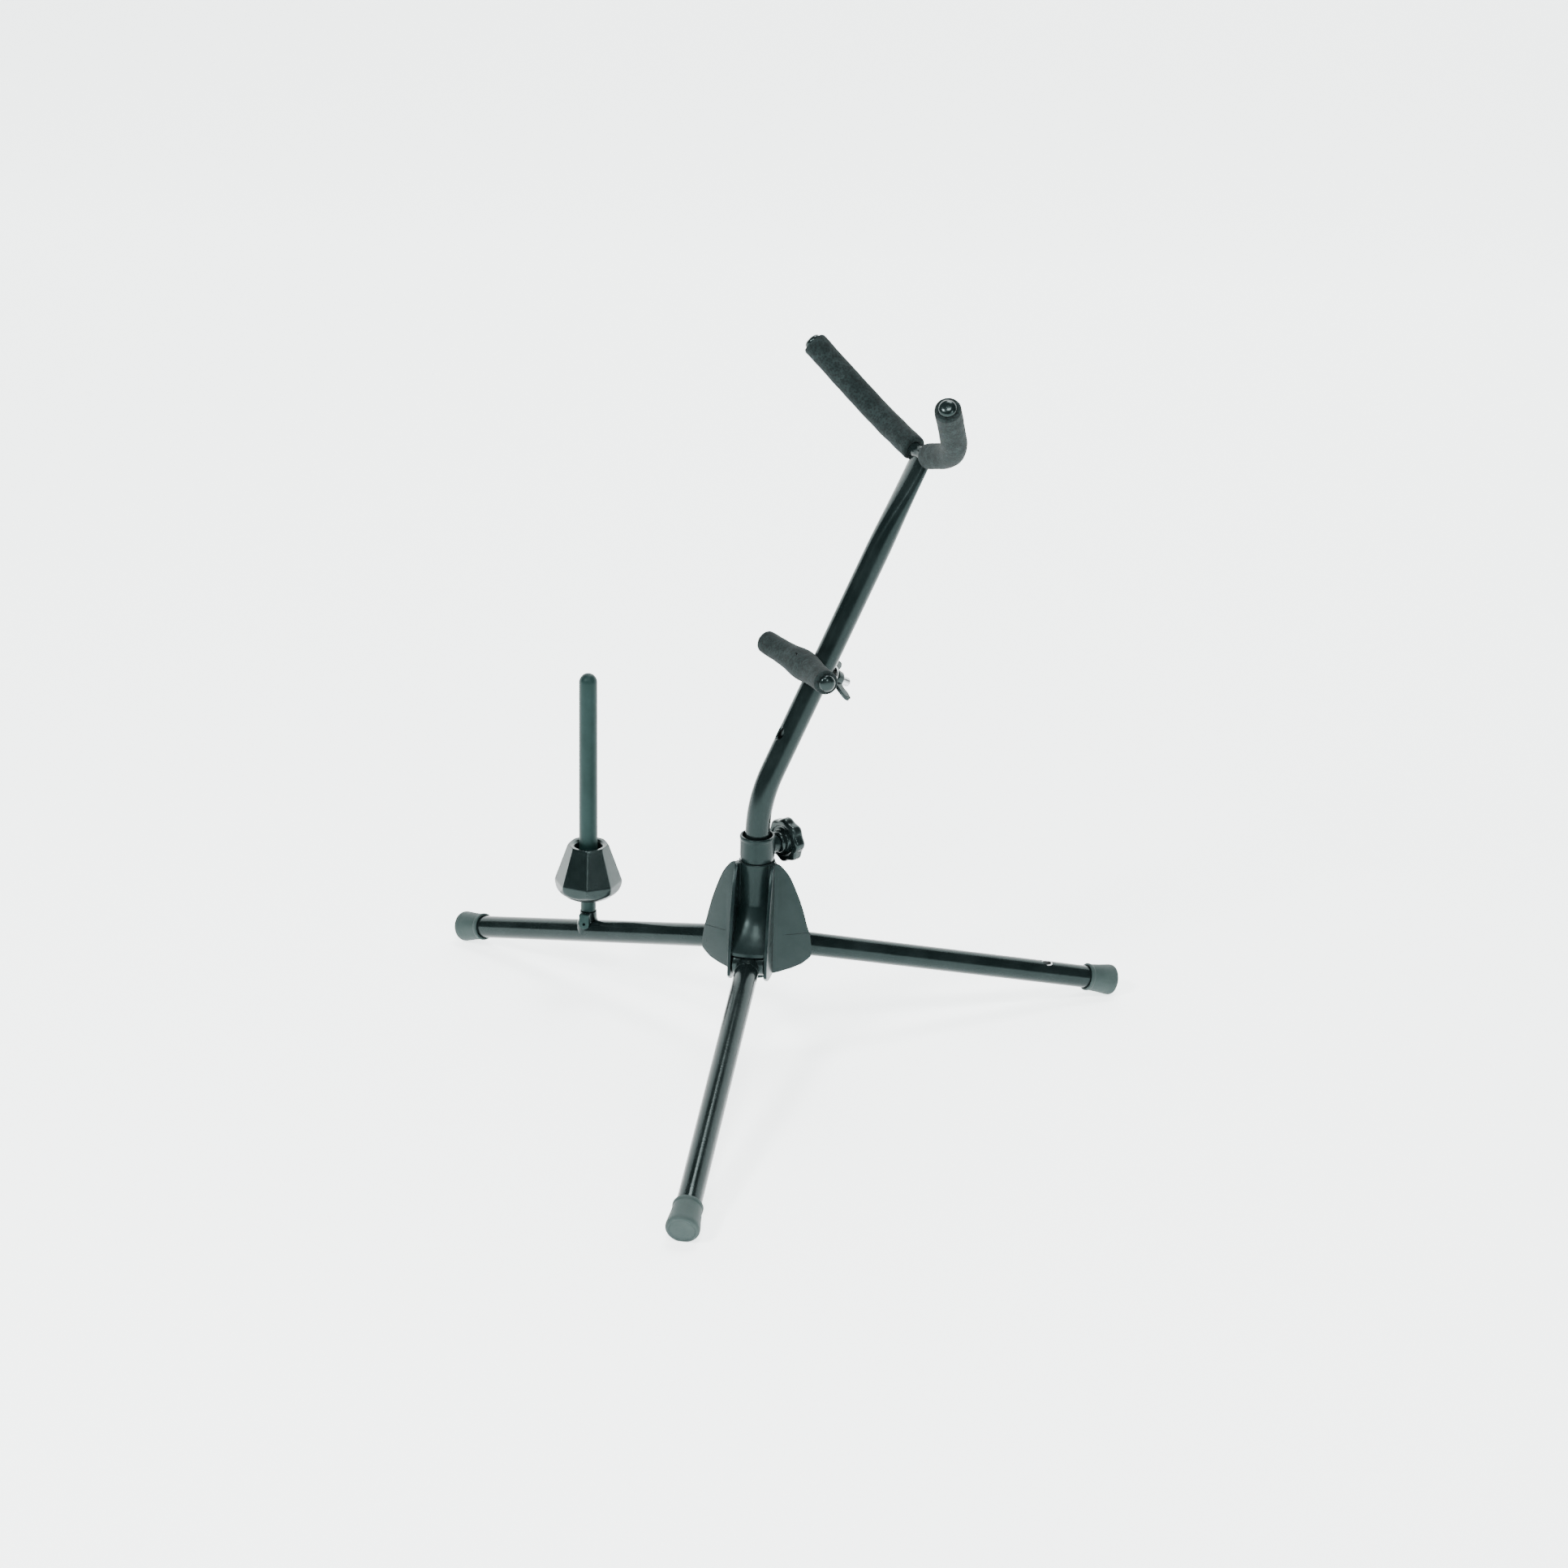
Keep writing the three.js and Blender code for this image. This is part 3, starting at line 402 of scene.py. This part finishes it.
def box(low, high):
    mesh = bmesh.new()
    centre = (Vector(low) + Vector(high)) / 2
    size = Vector(high) - Vector(low)
    bmesh.ops.create_cube(mesh, size=1, matrix=Matrix.Translation(centre) @ Matrix.Diagonal((*size, 1)))
    return mesh


def eased(mesh, width, angle=30, segments=2):
    """Bevels every edge sharper than an angle."""
    edges = [edge for edge in mesh.edges if len(edge.link_faces) == 2
             and edge.calc_face_angle(0) > math.radians(angle)]
    bmesh.ops.bevel(mesh, geom=edges, offset=width, segments=segments, profile=0.6, affect="EDGES",
                    clamp_overlap=True)
    return mesh


# ---- Hub -----------------------------------------------------------------------------------

CHANNEL = 11.2                      # half the gap between an arm's two fins
FIN = 2.2
FIN_ROOT = 3.5
PIN_HOLE = 2.8
SEAM_HEIGHT = 88.5
SEAM = 0.22                         # half the width and depth of the parting line


def fin_outline():
    """Side view of a fin: a bell-shaped outer edge from the top down, and a rounded foot."""
    edge = [(7.0, 140), (11.5, 139.3), (17.3, 132.5), (20.6, 126.5), (24.2, 118), (27.4, 109.4),
            (29.9, 101.4), (32.0, 93.4), (33.9, 87), (35.2, 80), (35.8, 76), (36.0, 71)]
    smooth = []
    for i in range(len(edge) - 1):
        a, b = Vector(edge[max(i - 1, 0)]), Vector(edge[i])
        c, d = Vector(edge[i + 1]), Vector(edge[min(i + 2, len(edge) - 1)])
        for k in range(4):
            t = k / 4
            smooth.append(0.5 * (2 * b + (c - a) * t + (2 * a - 5 * b + 4 * c - d) * t ** 2
                                 + (3 * b - 3 * c + d - a) * t ** 3))
    foot = [(36, 71), (35.7, 68.9), (33.5, 67), (28.8, 64), (21.5, 62), (12, 60.5), (FIN_ROOT, 60)]
    return [Vector((FIN_ROOT, 140)), *smooth, *(Vector(point) for point in foot)]


def height_on(curve, r):
    """The height of a falling curve at a radius."""
    for (r0, z0), (r1, z1) in zip(curve, curve[1:]):
        if r <= r1:
            return z0 + (z1 - z0) * (r - r0) / (r1 - r0)
    return curve[-1][1]


def hood():
    """One arm's sloping hood: a sector of a bell between the two fins."""
    crest = [(12.4, 114.0), (14.1, 109.2, 4), (18, 101.2, 4), (25, 93, 4), (31, 87.6, 3), (34.8, 85.1)]
    top = filleted(crest, steps=6)
    under = [(12.0, 104.6), (18, 97.4), (25, 89.6), (30.5, 85.2), (34.8, 82.8)]
    line = [*top, *((r, height_on(under, r)) for r, _ in reversed(top))]
    rows = []
    steps = 24
    for k in range(steps + 1):
        turn = 2 * k / steps - 1
        angles = [math.asin(12 / max(r, 13.9)) * turn for r, _ in line]
        rows.append([Vector((r * math.cos(a), r * math.sin(a), z)) for (r, z), a in zip(line, angles)])
    mesh = from_rings(rows, caps=False)
    mesh.verts.ensure_lookup_table()
    count = len(line)
    for start in (0, steps * count):
        for i in range(len(top) - 1):
            corners = (i, i + 1, count - 2 - i, count - 1 - i)
            mesh.faces.new([mesh.verts[start + corner] for corner in corners])
    bmesh.ops.triangulate(mesh, faces=mesh.faces)
    bmesh.ops.recalc_face_normals(mesh, faces=mesh.faces)
    if mesh.calc_volume(signed=True) < 0:
        bmesh.ops.reverse_faces(mesh, faces=mesh.faces)
    return mesh


def hub_mesh():
    arms = [Matrix.Rotation(math.radians(a), 4, "Z") for a in AZIMUTHS.values()]
    offset = CHANNEL + FIN / 2
    parts = []
    for arm in arms:
        for side in (-offset, offset):
            fin = eased(plate(fin_outline(), FIN), 0.45, 60)
            parts.append(moved(fin, arm @ Matrix.Translation((0, side, 0))))
        parts.append(moved(hood(), arm))
    sleeve = turned([(9.6, 60), (13.1, 60), (13.6, 60.6), (13.8, 109, 7), (12.4, 126, 7), (12.3, 139.4),
                     (11.7, 140), (9.6, 140)], closed=True)
    whole = combined(sleeve, parts, "UNION")
    pivot = Matrix.Translation((PIVOT_REACH, 0, PIVOT_HEIGHT))
    holes = [moved(rod(PIN_HOLE, -12.6, 12.6), arm @ pivot @ ALONG_Y) for arm in arms]
    tools = [rod(10.33, 50, 150, SIDES), *holes]
    screw_way = Matrix.Translation((0, 0, 66.5)) @ Matrix.Rotation(math.pi / 2, 4, "Z") @ ALONG_X
    tools.append(moved(rod(3.7, 15.6, 26), screw_way))
    for arm in arms:
        for side in (-1, 1):
            face = side * (CHANNEL + FIN)
            groove = box((15.6, face - SEAM, -0.2), (40, face + SEAM, 0.2))
            tilt = Matrix.Translation((0, 0, SEAM_HEIGHT)) @ Matrix.Rotation(math.radians(3), 4, "Y")
            tools.append(moved(groove, arm @ tilt))
    return combined(whole, tools, "DIFFERENCE")


bung = turned([(0, 57.4), (12.4, 57.4, 0.8), (12.4, 59.7, 0.3), (8.55, 59.7), (8.55, 63.8, 0.6), (0, 63.8)])
piece("hub_shell", hub_mesh(), HUB, "hub", "hub_plastic", ["hub_body"], 32)
piece("base_column", pipe(10, 8.85, 60.3, 144, 0.4, sides=96), HUB, "hub", "black_steel", ["base_tube"])
piece("base_bung", bung, HUB, "hub", "hub_plastic", ["base_plug"])


def collar_mesh():
    ring = turned([(10.3, 140.5, 0.3), (11.35, 140.5, 0.5), (11.7, 143.5, 0.6), (11.7, 155.4, 0.5),
                   (12.0, 156, 0.3), (12.0, 157.4, 0.5), (11.4, 158, 0.3), (10.3, 158, 0.3)], 96, closed=True)
    boss = turned([(0, 10.6), (6.3, 10.6), (6.3, 15.6, 0.6), (5.6, 16.4, 0.3), (0, 16.4)], 48)
    boss = moved(boss, CLAMP_TURN @ ALONG_X)
    web = moved(box((8.2, -2.0, -7), (15.4, 2.0, -4.0)), CLAMP_TURN)
    bore = rod(10.3, 130, 170, 96)
    hole = moved(rod(4.7, 0, 30), CLAMP_TURN @ ALONG_X)
    return combined(combined(ring, [boss, web], "UNION"), [bore, hole], "DIFFERENCE")


piece("collar", collar_mesh(), HUB, "hub", "hub_plastic", ["clamp_collar"])
piece("liner_ring", pipe(9.9, 8.55, 144.4, 153, 0.3, sides=96), HUB, "liner", "nylon", ["mast_liner"])
piece("nut_insert", pipe(4.4, 3.3, 11.7, 16.2, 0.2, sides=32), CLAMP @ ALONG_X, "hub", "brass", ["clamp_nut"])


def knob_mesh():
    """A wheel with eight shallow lobes round its rim."""
    def lobes(r, z, angle):
        share = max(0.0, min(1.0, (r - 9.5) / 4.5))
        return r + share * share * (0.65 * math.cos(8 * angle) + 0.15)

    hub = [(0, 27.3), (3.3, 27.3), (3.3, 16.8), (6.4, 16.8, 0.5), (7.3, 18, 0.8), (7.4, 21.2, 0.7)]
    rim = [(9.5, 22.6, 0.8), (11.4, 21.6, 0.8), (13.4, 21.7, 1.0), (14.7, 23.2, 1.1), (14.8, 28.6, 1.2)]
    face = [(13.2, 30.4, 1.2), (10.2, 30.6, 0.8), (8.6, 29.4, 0.8), (0, 29.2)]
    return turned(hub + rim + face, 160, lobes)


piece("knob_wheel", knob_mesh(), CLAMP @ ALONG_X, "clamp_knob_and_screw", "black_plastic", ["clamp_knob"])


# ---- Legs ----------------------------------------------------------------------------------

def foot_mesh(side):
    """A flared cup, worn flat where it meets the floor."""
    end = LEG_LENGTH
    mouth = end - 22
    lip = [(0, end - 3), (8.3, end - 3), (8.3, mouth, 0.3), (9.75, mouth, 0.5), (9.75, mouth + 2.2, 0.5)]
    wall = [(9.3, mouth + 3, 0.4), (9.9, mouth + 10), (10.9, end - 3.4, 1.0), (10.8, end - 1.6, 0.9)]
    sole = [(10.0, end - 0.6, 0.6), (8.4, end - 0.15, 0.8), (8.0, end - 0.6, 0.3), (0, end - 0.35)]
    cup = moved(turned(lip + wall + sole, 96), ALONG_X)
    matrix = leg_frame(side)
    back = matrix.inverted()
    for vert in cup.verts:
        place = matrix @ vert.co
        if place.z < 0:
            place.z = 0
            vert.co = back @ place
    return cup


def leg_tube(side):
    tube = moved(pipe(8, 6.8, 11.5, LEG_LENGTH - 3.3, 0.3, 8, 64), ALONG_X)
    reach = {"left": PEG_REACH, "right": SPARE_REACH}.get(side)
    if reach is None:
        return tube
    distance = (reach - PIVOT_REACH) / math.cos(SLOPE)
    upright = Matrix.Translation((distance, 0, 0)) @ Matrix.Rotation(-SLOPE, 4, "Y")
    return combined(tube, [moved(rod(4.6, 0, 30), upright)], "DIFFERENCE")


def knuckle():
    eye = moved(turned([(0, -10.8), (8, -10.8, 0.6), (8, 10.8, 0.6), (0, 10.8)]), ALONG_Y)
    shoulder = turned([(0, 0), (8, 0), (8, 11.2, 0.3), (6.5, 11.2), (6.5, 33), (5.9, 34), (0, 34)])
    return combined(eye, [moved(shoulder, ALONG_X)], "UNION")


for side in AZIMUTHS:
    body = f"{side}_leg"
    place = leg_frame(side)
    piece(f"{side}_tube", leg_tube(side), place, body, "black_steel", [f"{side}_leg_tube"])
    block = combined(knuckle(), [moved(rod(PIN_HOLE, -20, 20), ALONG_Y)], "DIFFERENCE")
    piece(f"{side}_knuckle_block", block, place, body, "black_plastic", [f"{side}_leg_knuckle"])
    piece(f"{side}_rubber", foot_mesh(side), place, body, "foot_rubber", [f"{side}_foot"])
    pin = turned([(0, -12.2), (2.5, -12.2, 0.4), (2.5, 12.2, 0.4), (0, 12.2)], 32)
    piece(f"{side}_pivot", moved(pin, ALONG_Y), place, "hub", "plated_steel", [f"{side}_leg_pin"])


# ---- Peg -----------------------------------------------------------------------------------

CONE_EDGE_AZIMUTH = -82
TAB_AZIMUTH = -99


def leg_under_peg(radius):
    """A bar along the left leg, as seen from the foot of the peg."""
    place = Matrix.Translation((0, 0, leg_height(PEG_REACH))) @ Matrix.Rotation(SLOPE, 4, "Y") @ ALONG_X
    return moved(rod(radius, -40, 40, 64), place)


def socket_mesh():
    base = leg_height(PEG_REACH)
    boss = turned([(4.2, base), (8.2, base), (8.2, base + 6.6, 1.5), (6.2, base + 9.6, 1.6), (5.9, 58, 0.3),
                   (4.2, 58)], 64, closed=True)
    return combined(boss, [leg_under_peg(8.06)], "DIFFERENCE")


def cone_shape(r, z, angle):
    """Eight soft-edged facets between the flat top and the rounded underside."""
    if r < 9.6:
        return r
    edge = math.radians(CONE_EDGE_AZIMUTH - AZIMUTHS["left"])
    turn = (angle - edge) % (math.pi / 4) - math.pi / 8
    wide, narrow = 23.9, 14.3
    corner = wide - (wide - narrow) * max(0, z - 82) / 27
    limit = corner * math.cos(math.pi / 8) / math.cos(turn)
    blend = 0.35
    return -blend * math.log(math.exp(-r / blend) + math.exp(-limit / blend))


def cone_mesh():
    under = [(6.8, 72), (6.8, 68.4, 0.3), (9.0, 68, 0.4), (16.8, 70.8, 2), (22.8, 76.0, 2), (25.0, 81.6, 1.6)]
    side = [(25.0, 84.6, 1.2), (23, 90), (20.5, 96.5), (18, 103), (15.9, 107.4, 0.7), (14.0, 109.0, 0.6)]
    recess = [(11.0, 108.6, 0.5), (9.5, 107.4, 0.6), (9.0, 102, 0.3), (6.8, 102, 0.2)]
    return turned(under + side + recess, 192, cone_shape, closed=True)


def tab_mesh():
    base = leg_height(PEG_REACH)
    corners = [(-3.7, 57.8, 0.8), (-3.7, 46.8, 3.6), (3.7, 46.8, 3.6), (3.7, 57.8, 0.8)]
    outline = filleted(corners, closed=True, steps=8)
    turn = Matrix.Rotation(math.radians(TAB_AZIMUTH - AZIMUTHS["left"] + 90), 4, "Z")
    tab = moved(eased(plate(outline, 3), 0.5, 60), turn @ Matrix.Translation((0, -7.6, 0)))
    boss = turned([(0, base), (8.4, base), (8.4, base + 6.9), (6.6, base + 10.2), (6.2, 59), (0, 59)], 64)
    eye = moved(rod(1.1, -12, 0), turn @ Matrix.Translation((0, 0, 50.4)) @ ALONG_Y)
    return combined(tab, [boss, eye, leg_under_peg(8.2)], "DIFFERENCE")


PEG = arm_frame("left") @ Matrix.Translation((PEG_REACH, 0, 0))
dome = [(6.3 * math.cos(a), 229.6 + 6.4 * math.sin(a)) for a in (math.radians(9 * k) for k in range(10))]
stem = [(0, 74.3), (4.2, 74.3), (4.2, 58.4), (5.4, 58.4, 0.4), (5.5, 69), (6.4, 73), (6.5, 80), (6.4, 160)]
stud = turned([(0, 46.6), (3.1, 46.6, 0.4), (3.9, 47.6), (3.9, 73.9), (0, 73.9)], 32)
piece("peg_boss", socket_mesh(), PEG, "left_leg", "black_steel", ["peg_socket"])
piece("peg_lug", tab_mesh(), PEG, "left_leg", "peg_plastic", ["peg_tab"])
piece("peg_shaft", turned([*stem, *dome, (0, 236)], 64), PEG, "peg", "peg_plastic", ["peg_rod"])
piece("peg_weight", cone_mesh(), PEG, "peg", "black_plastic", ["peg_cone"], 28)
piece("peg_thread", stud, PEG, "peg", "plated_steel", ["peg_stud"])
spare = arm_frame("right") @ Matrix.Translation((SPARE_REACH, 0, 0))
spare_height = leg_height(SPARE_REACH)
bush = pipe(4.3, 3.4, spare_height - 2, spare_height + 7.1, 0.3, sides=48)
piece("spare_bush", bush, spare, "right_leg", "plated_steel", ["spare_socket_insert"])


# ---- Mast ----------------------------------------------------------------------------------

BAR = 4.75                          # radius of the fork's and the yoke's rods
FOAM_BORE = 5.1
BOLT_HOLE = 3.3
AT_YOKE = Matrix.Translation((0, YOKE, 0))


def flattened(mesh):
    """The mast's top, pressed flat front to back."""
    start, end = 183, FORK - 6
    for vert in mesh.verts:
        t = max(0.0, min(1.0, (vert.co.y - start) / (end - start)))
        amount = t * t * (3 - 2 * t)
        vert.co.x *= 1 + 0.33 * amount
        vert.co.z *= 1 - 0.42 * amount
    return mesh


def fork_path():
    tip, bend, root = (92.1, 289.5, 57.6), (51.5, 264.4, 9.8), (0, FORK, 0)
    return rounded_path([(-tip[0], *tip[1:]), (-bend[0], *bend[1:]), root, bend, tip], [24, 9, 24])


def yoke_path():
    tip, bend, root = (44.5, YOKE, 20.3), (15, YOKE, 15.3), (0, YOKE, 14)
    return rounded_path([(-tip[0], *tip[1:]), (-bend[0], *bend[1:]), root, bend, tip], [8, 5, 8], 1.0)


def mast_mesh():
    foot = LEAN.inverted() @ HUB @ Vector((0, 0, 74))
    path = rounded_path([foot, (0, 0, 0), (0, FORK, 0)], [23], 2.5)
    tube = flattened(swept_pipe(path, 8.25, 7, 64))
    empty = Matrix.Translation((0, 48, 0))
    tools = [
        moved(rod(BOLT_HOLE, -20, 20), AT_YOKE),
        moved(rod(3.5, -20, 20), empty),
        moved(turned([(0, 6.4), (3.5, 6.4), (5.7, 9.2), (0, 9.2)], 32), empty),
        swept(fork_path(), 5.0),
    ]
    return combined(tube, tools, "DIFFERENCE")


def end_matrix(path, at_start):
    end = path[0] if at_start else path[-1]
    near = path[1] if at_start else path[-2]
    turn = (end - near).to_track_quat("Z", "Y").to_matrix().to_4x4()
    return Matrix.Translation(end) @ turn


def cap_mesh(path, at_start, radius=5.9):
    """A domed plug with a spigot that sits in the end of a rod."""
    spigot = [(0, -7), (2.3, -7, 0.3), (2.3, 0.3)]
    rim = [(radius, 0.3, 0.2), (radius, 1.1)]
    head = [(radius * 0.93, 2.1), (radius * 0.74, 3.0), (radius * 0.4, 3.5), (0, 3.65)]
    return moved(turned(spigot + rim + head, 48), end_matrix(path, at_start))


def rough_skin(mesh, amount, size, seed):
    """Small dents and swells of moulded foam."""
    shift = Vector((seed, 2 * seed, 3 * seed))
    mesh.normal_update()
    moves = []
    for vert in mesh.verts:
        coarse = noise.noise(vert.co / size + shift)
        fine = noise.noise(vert.co / (0.3 * size) + shift)
        moves.append(vert.normal * amount * (coarse + 0.45 * fine))
    for vert, move in zip(mesh.verts, moves):
        vert.co += move
    return mesh


def clipped(path, start, end):
    """The part of a path between two distances."""
    along = lengths(path)
    inside = [point for point, distance in zip(path, along) if start < distance < end]

    def at(distance):
        for i in range(len(path) - 1):
            if along[i + 1] >= distance:
                share = (distance - along[i]) / (along[i + 1] - along[i])
                return path[i].lerp(path[i + 1], share)
        return path[-1]

    return [at(start), *inside, at(end)]


def foam_radius(length, radius, seed):
    """Sleeve radius: softly rounded cut ends, with a slightly uneven cut."""
    def at(distance, angle):
        edge = min(distance, length - distance)
        uneven = 0.5 * noise.noise(Vector((math.cos(angle) * 2, math.sin(angle) * 2, seed)))
        drop = max(0.0, 1 - (edge + uneven * 0.6) / 1.6)
        return radius - 0.9 * drop * drop
    return at


def fork_foam(at_start, seed):
    path = fork_path()
    total = lengths(path)[-1]
    inner = total / 2 - 10
    path = clipped(path, 0, inner) if at_start else clipped(path, total - inner, total)
    length = lengths(path)[-1]
    return rough_skin(swept_pipe(path, foam_radius(length, 8.5, seed), FOAM_BORE), 0.22, 9, seed)


def yoke_foam():
    path = yoke_path()
    total = lengths(path)[-1]
    base = foam_radius(total, 8.0, 5)

    def radius(distance, angle):
        away = (distance - total / 2) / 15
        return base(distance, angle) + 2.2 * math.exp(-away * away)

    sleeve = rough_skin(swept_pipe(path, radius, FOAM_BORE), 0.2, 8, 5)
    back = box((-14, YOKE - 20, -30), (14, YOKE + 20, 11))
    head = moved(rod(5.6, 14, 22.9), AT_YOKE)
    return combined(sleeve, [back, head], "DIFFERENCE")


def wing_nut():
    profile = [(0, 10.4), (5.8, 10.4, 0.4), (6.2, 12, 0.6), (5.2, 16.8, 0.7), (4.4, 17.4, 0.4), (0, 17.4)]
    body = turned(profile, 48)
    outline = filleted([(3.6, 10.8), (8, 11.6, 2), (14.6, 15.4, 3), (17.9, 18.6, 2.6), (16.6, 21.6, 2.2),
                        (12.4, 20.8, 3), (7.4, 16.8, 2), (3.6, 16.8)], closed=True, steps=5)
    wings = [eased(plate(outline, 2.4), 0.7, 50, 3) for _ in range(2)]
    moved(wings[1], Matrix.Rotation(math.pi, 4, "Z"))
    whole = combined(combined(body, wings, "UNION"), [rod(BOLT_HOLE, 0, 30)], "DIFFERENCE")
    place = AT_YOKE @ Matrix.Rotation(math.radians(-30), 4, "Z")
    return moved(whole, place @ Matrix.Rotation(math.pi, 4, "X"))


piece("mast_pipe", mast_mesh(), LEAN, "mast", "black_steel", ["mast_tube"], 40)
piece("fork_bar", swept(fork_path(), BAR), LEAN, "mast", "black_steel", ["fork_rod"])
for label, at_start, seed in (("left", True, 1), ("right", False, 2)):
    skin = fork_foam(at_start, seed)
    sleeve = piece(f"fork_sleeve_{label}", skin, LEAN, "mast", "foam", [f"fork_foam_{label}"], 50)
    cap = cap_mesh(fork_path(), at_start)
    piece(f"fork_plug_{label}", cap, LEAN, "mast", "black_plastic", [f"fork_cap_{label}"])
    cap = cap_mesh(yoke_path(), at_start, 5.6)
    piece(f"yoke_plug_{label}", cap, LEAN, "yoke", "black_plastic", [f"yoke_cap_{label}"])
bar = combined(swept(yoke_path(), BAR), [moved(rod(BOLT_HOLE, 0, 30), AT_YOKE)], "DIFFERENCE")
piece("yoke_bar", bar, LEAN, "yoke", "black_steel", ["yoke_rod"])
sleeve = piece("yoke_sleeve", yoke_foam(), LEAN, "yoke", "foam", ["yoke_foam"], 50)
piece("yoke_wings", wing_nut(), LEAN, "wing_nut", "black_plastic", ["yoke_wing_nut"])
washer = moved(pipe(7.4, BOLT_HOLE, -10.1, -8.6, 0.2, sides=48), AT_YOKE)
piece("yoke_ring", washer, LEAN, "mast", "plated_steel", ["yoke_washer"])

# ---- CAD nodes that stay in sight ------------------------------------------------------------

slots = {entry["node"]: entry["material_slot"] for entry in frame["record"]["subparts"]}
for node, thing in frame["nodes"].items():
    thing.data.materials.clear()
    thing.data.materials.append(MATERIALS[slots[node]])

# ---- Studio ----------------------------------------------------------------------------------

def plain(name, colour, roughness, glow):
    material = bpy.data.materials.new(name)
    material.use_nodes = True
    shader = material.node_tree.nodes["Principled BSDF"]
    shader.inputs["Base Color"].default_value = (*colour, 1)
    shader.inputs["Roughness"].default_value = roughness
    shader.inputs["Emission Color"].default_value = (0.95, 1.0, 0.995, 1)
    shader.inputs["Emission Strength"].default_value = glow
    return material


def backdrop():
    """A pale floor that curves up behind the stand."""
    half, front, depth, height, bend = 14.0, -14.0, 4.0, 5.0, 1.5
    floor = -0.0004
    line = [Vector((0, front, floor)), Vector((0, depth - bend, floor))]
    for k in range(1, 13):
        angle = math.radians(7.5 * k)
        line.append(Vector((0, depth - bend + bend * math.sin(angle), bend * (1 - math.cos(angle)) + floor)))
    line.append(Vector((0, depth, height)))
    sides = [[point + Vector((x, 0, 0)) for point in line] for x in (-half, half)]
    mesh = from_rings(sides, closed_section=False, caps=False)
    data = bpy.data.meshes.new("backdrop")
    mesh.to_mesh(data)
    mesh.free()
    data.materials.append(plain("backdrop", (0.93, 0.95, 0.945), 0.9, 2.6))
    data.shade_smooth()
    thing = bpy.data.objects.new("backdrop", data)
    bpy.context.scene.collection.objects.link(thing)


def area_light(name, position, target, size, power):
    data = bpy.data.lights.new(name, "AREA")
    data.shape = "RECTANGLE"
    data.size, data.size_y = size
    data.energy = power
    light = bpy.data.objects.new(name, data)
    light.location = position
    light.rotation_euler = (Vector(target) - Vector(position)).to_track_quat("-Z", "Y").to_euler()
    bpy.context.scene.collection.objects.link(light)


def camera():
    """Stands 2.2 m in front, a little above and to the right, rolled by about a degree."""
    back = Vector((0.13094, -0.91994, 0.36954))
    right = Vector((0.99002, 0.14092, 0))
    up = back.cross(right)
    roll = math.radians(1.348)
    across = right * math.cos(roll) + up * math.sin(roll)
    upright = up * math.cos(roll) - right * math.sin(roll)
    place = back * 2200 + across * 21.18 + upright * 180.6 + Vector((0, AXIS_Y, 0))
    data = bpy.data.cameras.new("photo view")
    data.sensor_width = 36
    data.lens = 3938 / 1932 * 36
    data.clip_end = 50
    thing = bpy.data.objects.new("photo view", data)
    turn = Matrix((across, upright, back)).transposed().to_4x4()
    thing.matrix_world = Matrix.Translation(place * MM) @ turn
    bpy.context.scene.collection.objects.link(thing)
    bpy.context.scene.camera = thing


backdrop()
area_light("key", (-1.2, -1.5, 1.9), (0, 0.05, 0.1), (0.5, 0.5), 70)
area_light("fill", (1.6, -1.9, 1.2), (0, 0.05, 0.2), (0.3, 0.9), 20)
area_light("top", (0.15, -0.85, 1.6), (0, 0, 0.1), (0.35, 0.35), 16)
area_light("floor wash", (0.2, 1.2, 3.4), (0, 0.5, 0), (1.2, 1.2), 90)
world = bpy.context.scene.world or bpy.data.worlds.new("studio")
bpy.context.scene.world = world
world.use_nodes = True
world.node_tree.nodes["Background"].inputs["Color"].default_value = (0.92, 0.95, 0.95, 1)
world.node_tree.nodes["Background"].inputs["Strength"].default_value = 0.06
camera()
